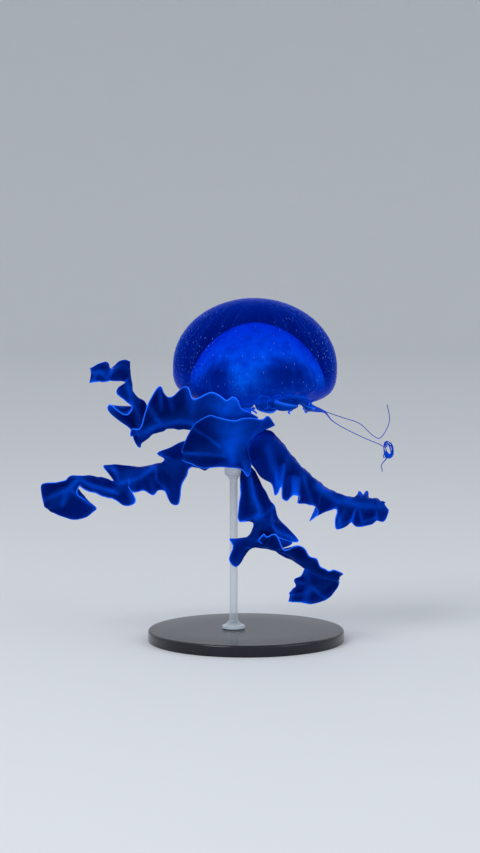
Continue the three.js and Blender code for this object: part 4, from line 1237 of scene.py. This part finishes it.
def tentacle_lines():
    """Every thread of the skin: its points, radius in metres, tissue and glow."""
    lines = []
    for index in range(TENTACLE_COUNT):
        places = LONG_TENTACLES.get(index)
        lines.append(long_thread(index, places) if places else short_thread(index))
    for index in range(GONADS["count"]):
        path = gonad_path(index)
        way = np.linspace(0, 1, len(path))
        ruffle = 1 + 0.16 * np.sin(way * 2 * math.pi * GONADS["ruffles"] + index)
        width = GONADS["radius"] * ruffle * np.sqrt(np.clip(1 - (2 * way - 1) ** 8, 0.05, 1))
        lines.append(even_thread(path, width, 0.55, 0.5))
    return lines + sense_bead_lines() + frill_lines()


def frill_lines(count=32):
    """The curled edges of the lappets that are drawn in at the front."""
    lines = []
    for at, above, wide, tall, start, end in FRILLS:
        turn = np.radians(np.linspace(start, end, count))
        height = above + tall * np.sin(turn) + 0.15 * np.sin(4 * turn)
        wall = np.array([outer_radius(z, BELL_RADIUS) for z in MARGIN_Z + height.clip(0)])
        r = wall + 0.6 + 2.2 * smooth_step(-height, -1, 2)
        angle = math.radians(at) + (wide * np.cos(turn) + 0.2 * np.sin(3 * turn + at)) / r
        z = MARGIN_Z + height + rim_lift(angle, MARGIN_Z + height.clip(0))
        way = np.linspace(-1, 1, count)
        width = (0.17 + 0.18 * np.sin(2.5 * turn) ** 6) * np.sqrt(np.clip(1 - way**8, 0.05, 1))
        lines.append(even_thread(round_points(r, angle, z), width, 0.55, 0.45))
    return lines


def sense_bead_lines():
    """A small sense organ in every second cleft of the margin, between two tentacles, bright from dense
    tissue and a painted glow.
    """
    lines = []
    for index in range(TENTACLE_COUNT):
        angle = 2 * math.pi * (index + 0.5) / TENTACLE_COUNT
        way = np.linspace(0, 1, 9)
        r = SENSE_ORGAN["ring"] - SENSE_ORGAN["inwards"] * way
        z = MARGIN_Z - 0.3 - SENSE_ORGAN["length"] * way + rim_lift(angle, MARGIN_Z)
        width = SENSE_ORGAN["radius"] * np.sqrt(np.clip(1 - (2 * way - 1) ** 4, 0.08, 1))
        lines.append(even_thread(round_points(r, angle, z), width, 1.0, 1.0))
    return lines


# ---- warts -----------------------------------------------------------------------------------------
WART_RINGS, WART_SEGMENTS = 30, 128  # of the hidden surface that they are scattered on
WART_REACH = 0.62  # how far round from the crown they go down, as a share of half a turn
WART_SIZES = 0.55, 1.25  # the smallest and the largest share of their length and width
BARE_FRONT = 270, 55  # where few of them show, and how far round that goes, in degrees


def wart_tree():
    """Geometry Nodes that scatter small oblong warts over a surface, all lying along one direction."""
    inputs = {
        "Surface": "Geometry", "Spacing": "Float", "Length": "Float", "Width": "Float", "Seed": "Int",
        "Lie": "Vector", "Finish": "Material",
    }
    board, given, result = new_tree("scattered warts", inputs, "Warts")
    cover = board.out("GeometryNodeInputNamedAttribute", 0, {"data_type": "FLOAT"}, {"Name": "wart_cover"})
    scatter = board.node(
        "GeometryNodeDistributePointsOnFaces", {"distribute_method": "POISSON"},
        {
            "Mesh": given["Surface"], "Distance Min": given["Spacing"], "Density Max": 400000.0,
            "Density Factor": cover, "Seed": given["Seed"],
        },
    )
    turn = board.out(
        "FunctionNodeAxesToRotation", 0, {"primary_axis": "Z", "secondary_axis": "X"},
        {"Primary Axis": scatter.outputs["Normal"], "Secondary Axis": given["Lie"]},
    )
    chance = board.node("FunctionNodeRandomValue", {"data_type": "FLOAT"})
    low, high = [i for i in chance.inputs if i.name in ("Min", "Max") and i.type == "VALUE"]
    low.default_value, high.default_value = WART_SIZES
    size = Wire(board.tree, next(o for o in chance.outputs if o.type == "VALUE"))
    bead = board.out("GeometryNodeMeshUVSphere", 0, None, {"Segments": 6, "Rings": 4, "Radius": 0.5})
    long, wide = Wire(board.tree, given["Length"]), Wire(board.tree, given["Width"])
    shape = board.out(
        "ShaderNodeCombineXYZ", 0, None, {"X": long * size, "Y": wide * size, "Z": wide * size * 0.8}
    )
    warts = board.out(
        "GeometryNodeInstanceOnPoints", 0, None,
        {"Points": scatter.outputs["Points"], "Instance": bead, "Rotation": turn, "Scale": shape},
    )
    return handed_on(board, warts, given["Finish"], result)


# ---- operators -------------------------------------------------------------------------------------
def jelly_kinds(settings):
    """The finishes of the skin: the bell, the veils of the arms and lips, and the dense core."""
    common = {
        "edge": tuple(settings.rim_highlight_colour), "dark": tuple(settings.painted_shade_colour),
        "thick": tuple(settings.dense_and_highlight_colour), "lining": tuple(settings.lining_colour),
        "thin": tuple(settings.veil_colour), "glow_thin": 0.25, "glow_dense": 0.45, "glow_more": 0.5,
        "glow_rim": 0.4, "cloud_scale": 90, "cloud_depth": 0.25, "cloud_lining": 1.2, "fibre_depth": 0.3,
        "strength": 0.8,
    }
    bell = {
        "thin": tuple(settings.bell_colour), "body": settings.bell_body, "cloud_scale": 160,
        "cloud_depth": 0.4, "fibre_scale": (44, 2, 1), "line_scale": (150, 2, 1), "lines": 0.55,
        "depth": (0.0, 0.55, 0.88), "density": 200.0,
    }
    veil = {
        "strength": 0.6, "glow_rim": 0.3, "body": settings.veil_body, "fibre_scale": (8, 3, 1),
        "line_scale": (1.5, 20, 1), "lines": 0.15, "depth": (0.0, 0.25, 0.72), "density": 11000.0,
    }
    core = {
        "body": 0.25, "fibre_scale": (10, 8, 1), "line_scale": (40, 3, 1), "lines": 0.4,
        "depth": (0.0, 0.5, 0.9), "density": 300.0,
    }
    kinds = {"bell": bell, "veil": veil, "core": core}
    return {name: jelly_material(f"{name} jelly", {**common, **look}) for name, look in kinds.items()}


class JELLY_OT_skin(bpy.types.Operator):
    """Makes the animal's one skin: bell, trunk, oral arms, lips, tentacles and gonads"""

    bl_idname = "jelly.skin"
    bl_label = "Skin"

    def execute(self, context):
        settings = context.scene.jelly
        finish = jelly_kinds(settings)
        parts = []

        def add(name, made, kind):
            vertices, faces, values, lie = made
            parts.append(mesh_object(name, vertices, outward(vertices, faces), [finish[kind]], values, lie))

        add("jelly_skin", bell_mesh(settings.bell_radius / MM), "bell")
        add("trunk_skin", trunk_mesh(), "core")
        sizes = {
            "edge": settings.veil_edge / MM, "rib": settings.veil_rib / MM, "bead": settings.veil_bead / MM,
            "crimp": settings.crimp / MM,
        }
        for name, arm in ARMS.items():
            add(f"{name}_skin", veil_mesh(arm, sizes), "veil")
        threads = grown(
            thread_lines(tentacle_lines()), thread_tree(), {"Sides": THREAD_SIDES, "Finish": finish["core"]},
            "thread_skin",
        )
        threads.data.uv_layers.new(name="Lie")
        parts.append(threads)
        skin = joined(parts)
        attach(skin, "root")
        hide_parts(*FLESH)
        return {"FINISHED"}


def joined(parts):
    """All the parts as one object, the first."""
    first = parts[0]
    with bpy.context.temp_override(active_object=first, object=first, selected_editable_objects=parts):
        bpy.ops.object.join()
    return first


class JELLY_OT_warts(bpy.types.Operator):
    """Scatters the nettle warts over the outside of the bell"""

    bl_idname = "jelly.warts"
    bl_label = "Warts"

    def execute(self, context):
        settings = context.scene.jelly_warts
        radius = context.scene.jelly.bell_radius / MM
        angle = round_steps(WART_SEGMENTS)
        points, cover = [], []
        for i in range(1, WART_RINGS + 1):
            turn = i / WART_RINGS * math.pi * WART_REACH
            z = CROWN * math.cos(turn)
            if turn > math.pi / 2:
                z = MARGIN_Z * math.sin((turn - math.pi / 2) * 2)
            points.append(round_points(outer_radius(z, radius), angle, z + rim_lift(angle, z)))
            patches = 0.5 + 0.5 * np.sin(angle * 5 + 1.3) * np.sin(angle * 2 + i * 0.3)
            front = 1 - 0.8 * near_angle(angle, *BARE_FRONT)
            cover.append(np.clip((0.2 + 0.75 * patches * (turn / (math.pi / 2)) ** 0.7) * front, 0, 1))
        surface = mesh_object(
            "wart surface", bell_placed(np.concatenate(points)),
            ring_faces(WART_RINGS, WART_SEGMENTS)[:, ::-1], (), {"wart_cover": np.concatenate(cover)},
        )
        lie = BELL_TURN.to_matrix() @ Vector((0, 0, 1))
        warts = grown(
            surface, wart_tree(),
            {
                "Spacing": settings.spacing, "Length": settings.wart_length, "Width": settings.wart_width,
                "Seed": settings.seed, "Lie": lie, "Finish": wart_material(tuple(settings.wart_colour)),
            },
            "bell_warts",
        )
        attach(warts, "root")
        return {"FINISHED"}


def turned_piece(name, profile, centre, material, sides=160):
    """A closed piece turned on a lathe, from the axis at its foot to the axis at its top."""
    inner = profile[1:-1]
    rings = [round_points(r, round_steps(sides), z) for r, z in inner]
    vertices = np.concatenate([*rings, [(0, 0, profile[0][1])], [(0, 0, profile[-1][1])]])
    faces = outward(vertices, capped_faces(len(inner), sides))
    return mesh_object(name, vertices + np.array(centre), faces, [material])


def foot_of(low, high):
    """The middle of a box's underside."""
    return Vector(((low.x + high.x) / 2, (low.y + high.y) / 2, low.z))


def arc(centre, radius, start, end, steps=8):
    """Points [r, z] of an arc, its angles measured from the outward direction."""
    turns = np.radians(np.linspace(start, end, steps))
    return [(centre[0] + radius * math.cos(t), centre[1] + radius * math.sin(t)) for t in turns]


class JELLY_OT_stand(bpy.types.Operator):
    """Makes the stand's polished base and its frosted rod"""

    bl_idname = "jelly.stand"
    bl_label = "Stand"

    def execute(self, context):
        settings = context.scene.jelly_stand
        black = acrylic_material("black acrylic", tuple(settings.base_colour), 0.12)
        clear = acrylic_material("clear acrylic", tuple(settings.rod_colour), 0.2, 0.3)
        profile = self.base_profile(settings.bevel)
        base = turned_piece("display_base", profile, foot_of(BASE_LOW, BASE_HIGH), black)
        support = turned_piece("display_rod", self.rod_profile(), foot_of(ROD_LOW, ROD_HIGH), clear, 64)
        for piece, node in ((base, "stand_base"), (support, "stand_rod")):
            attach(piece, "root")
            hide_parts(node)
        return {"FINISHED"}

    @staticmethod
    def base_profile(bevel):
        """Half of the base's section: a small round at the foot and a wider one at the top."""
        radius, height, foot = (BASE_HIGH.x - BASE_LOW.x) / 2, BASE_HIGH.z - BASE_LOW.z, 0.6 * MM
        profile = [(0, 0), (radius * 0.5, 0), (radius - 2 * foot, 0)]
        profile += arc((radius - foot, foot), foot, -90, 0, 5)
        profile += arc((radius - bevel, height - bevel), bevel, 0, 90)
        return [*profile, (radius * 0.6, height), (0, height)]

    @staticmethod
    def rod_profile():
        """Half of the rod's section, set out in millimetres: a flared foot, the rod and a shallow cup."""
        tall, flange = (ROD_HIGH.z - ROD_LOW.z) / MM, (ROD_HIGH.x - ROD_LOW.x) / 2 / MM
        rod, cup, neck = 2.4, 5.5, tall - 5
        profile = [(0, 0), (flange - 0.4, 0), *arc((flange - 0.5, 0.5), 0.5, -60, 0, 4)]
        profile += [*arc((flange - 0.8, 1.2), 0.8, 0, 80, 5), (flange - 2.2, 2.6), (rod + 1.2, 3.8)]
        profile += [(rod + 0.25, 5), (rod, 6.5), (rod, tall / 2), (rod, neck - 3.2), (rod + 0.5, neck - 2.2)]
        profile += [(cup - 1.2, neck - 0.6), *arc((cup - 0.8, neck + 0.6), 0.8, -40, 0, 4)]
        profile += [*arc((cup - 0.4, tall - 0.4), 0.4, 0, 90, 5), (cup - 1.2, tall), (cup - 1.8, tall - 0.5)]
        return [(r * MM, z * MM) for r, z in (*profile, (0, tall - 0.9))]


AIM, VIEW_HEIGHT = Vector((0.0146, 0, 0.131)), 0.5186  # the middle and the height of what the camera sees
SENSOR_HEIGHT = 36


class JELLY_OT_stage(bpy.types.Operator):
    """Makes the plain floor and backdrop, the soft lights and the camera"""

    bl_idname = "jelly.stage"
    bl_label = "Stage"

    def execute(self, context):
        settings = context.scene.jelly_stage
        scene = context.scene
        self.make_bowl(settings)
        self.make_lights(scene)
        rise, away = settings.camera_height, settings.camera_distance
        data = bpy.data.cameras.new("camera")
        data.sensor_fit = "VERTICAL"
        data.sensor_height = SENSOR_HEIGHT
        data.lens = SENSOR_HEIGHT * away / VIEW_HEIGHT
        camera = shown("camera", data)
        camera.location = AIM + Vector((0, -away * math.cos(rise), away * math.sin(rise)))
        camera.rotation_euler = (math.pi / 2 - rise, 0, 0)
        scene.camera = camera
        scene.view_settings.view_transform = "Standard"
        scene.cycles.transparent_max_bounces = 40
        return {"FINISHED"}

    @staticmethod
    def make_bowl(settings):
        """One wide round sheet that is the floor and curves up into the backdrop on every side."""
        flat, bend, sides = 5.0, 2.2, 96
        profile = [(1.0, 0), (3.0, 0), *arc((flat, bend), bend, -90, 0, 24)]
        rings = [round_points(r, round_steps(sides), z) for r, z in profile]
        faces = [tuple(f) for f in ring_faces(len(profile), sides)[:, ::-1]]
        faces += [(len(profile) * sides, k, (k + 1) % sides) for k in range(sides)]
        vertices = np.concatenate([*rings, [(0, 0, 0)]])
        bowl = mesh_object("stage_bowl", vertices, faces, [stage_material(tuple(settings.floor_colour))])

    @staticmethod
    def make_lights(scene):
        world = bpy.data.worlds.new("soft studio")
        world.use_nodes = True
        background = world.node_tree.nodes["Background"]
        background.inputs["Color"].default_value = (0.93, 0.96, 1.0, 1)
        background.inputs["Strength"].default_value = 0.8
        scene.world = world
        lamps = (("key", (-0.9, -1.0, 1.4), 1.0, 16), ("fill", (1.2, -0.7, 0.7), 1.2, 5))
        for name, place, size, power in lamps:
            data = bpy.data.lights.new(name, "AREA")
            data.shape = "DISK"
            data.size = size
            data.energy = power
            lamp = shown(name, data)
            lamp.location = place
            aim = Vector((0.01, 0, 0.12)) - Vector(place)
            lamp.rotation_euler = aim.to_track_quat("-Z", "Y").to_euler()


class JELLY_PT_panel(bpy.types.Panel):
    """Lists the settings and the makers of the pieces"""

    bl_label = "Jellyfish"
    bl_space_type = "VIEW_3D"
    bl_region_type = "UI"
    bl_category = "Jellyfish"

    def draw(self, context):
        makers = ("jelly.skin", "jelly.warts", "jelly.stand", "jelly.stage")
        for group, maker in zip(GROUPS, makers):
            box = self.layout.box()
            settings = getattr(context.scene, group)
            for key in settings.bl_rna.properties.keys():
                if key not in ("rna_type", "name"):
                    box.prop(settings, key)
            box.operator(maker)


GROUPS = {
    "jelly": JellySettings, "jelly_warts": WartSettings, "jelly_stand": StandSettings,
    "jelly_stage": StageSettings,
}
CLASSES = (
    *GROUPS.values(), JELLY_OT_skin, JELLY_OT_warts, JELLY_OT_stand, JELLY_OT_stage, JELLY_PT_panel,
)


def register():
    for item in CLASSES:
        bpy.utils.register_class(item)
    for name, group in GROUPS.items():
        setattr(bpy.types.Scene, name, PointerProperty(type=group))


def unregister():
    for name in GROUPS:
        delattr(bpy.types.Scene, name)
    for item in reversed(CLASSES):
        bpy.utils.unregister_class(item)


def main():
    register()
    for maker in (bpy.ops.jelly.stage, bpy.ops.jelly.skin, bpy.ops.jelly.warts, bpy.ops.jelly.stand):
        maker()


if __name__ == "__main__":
    main()
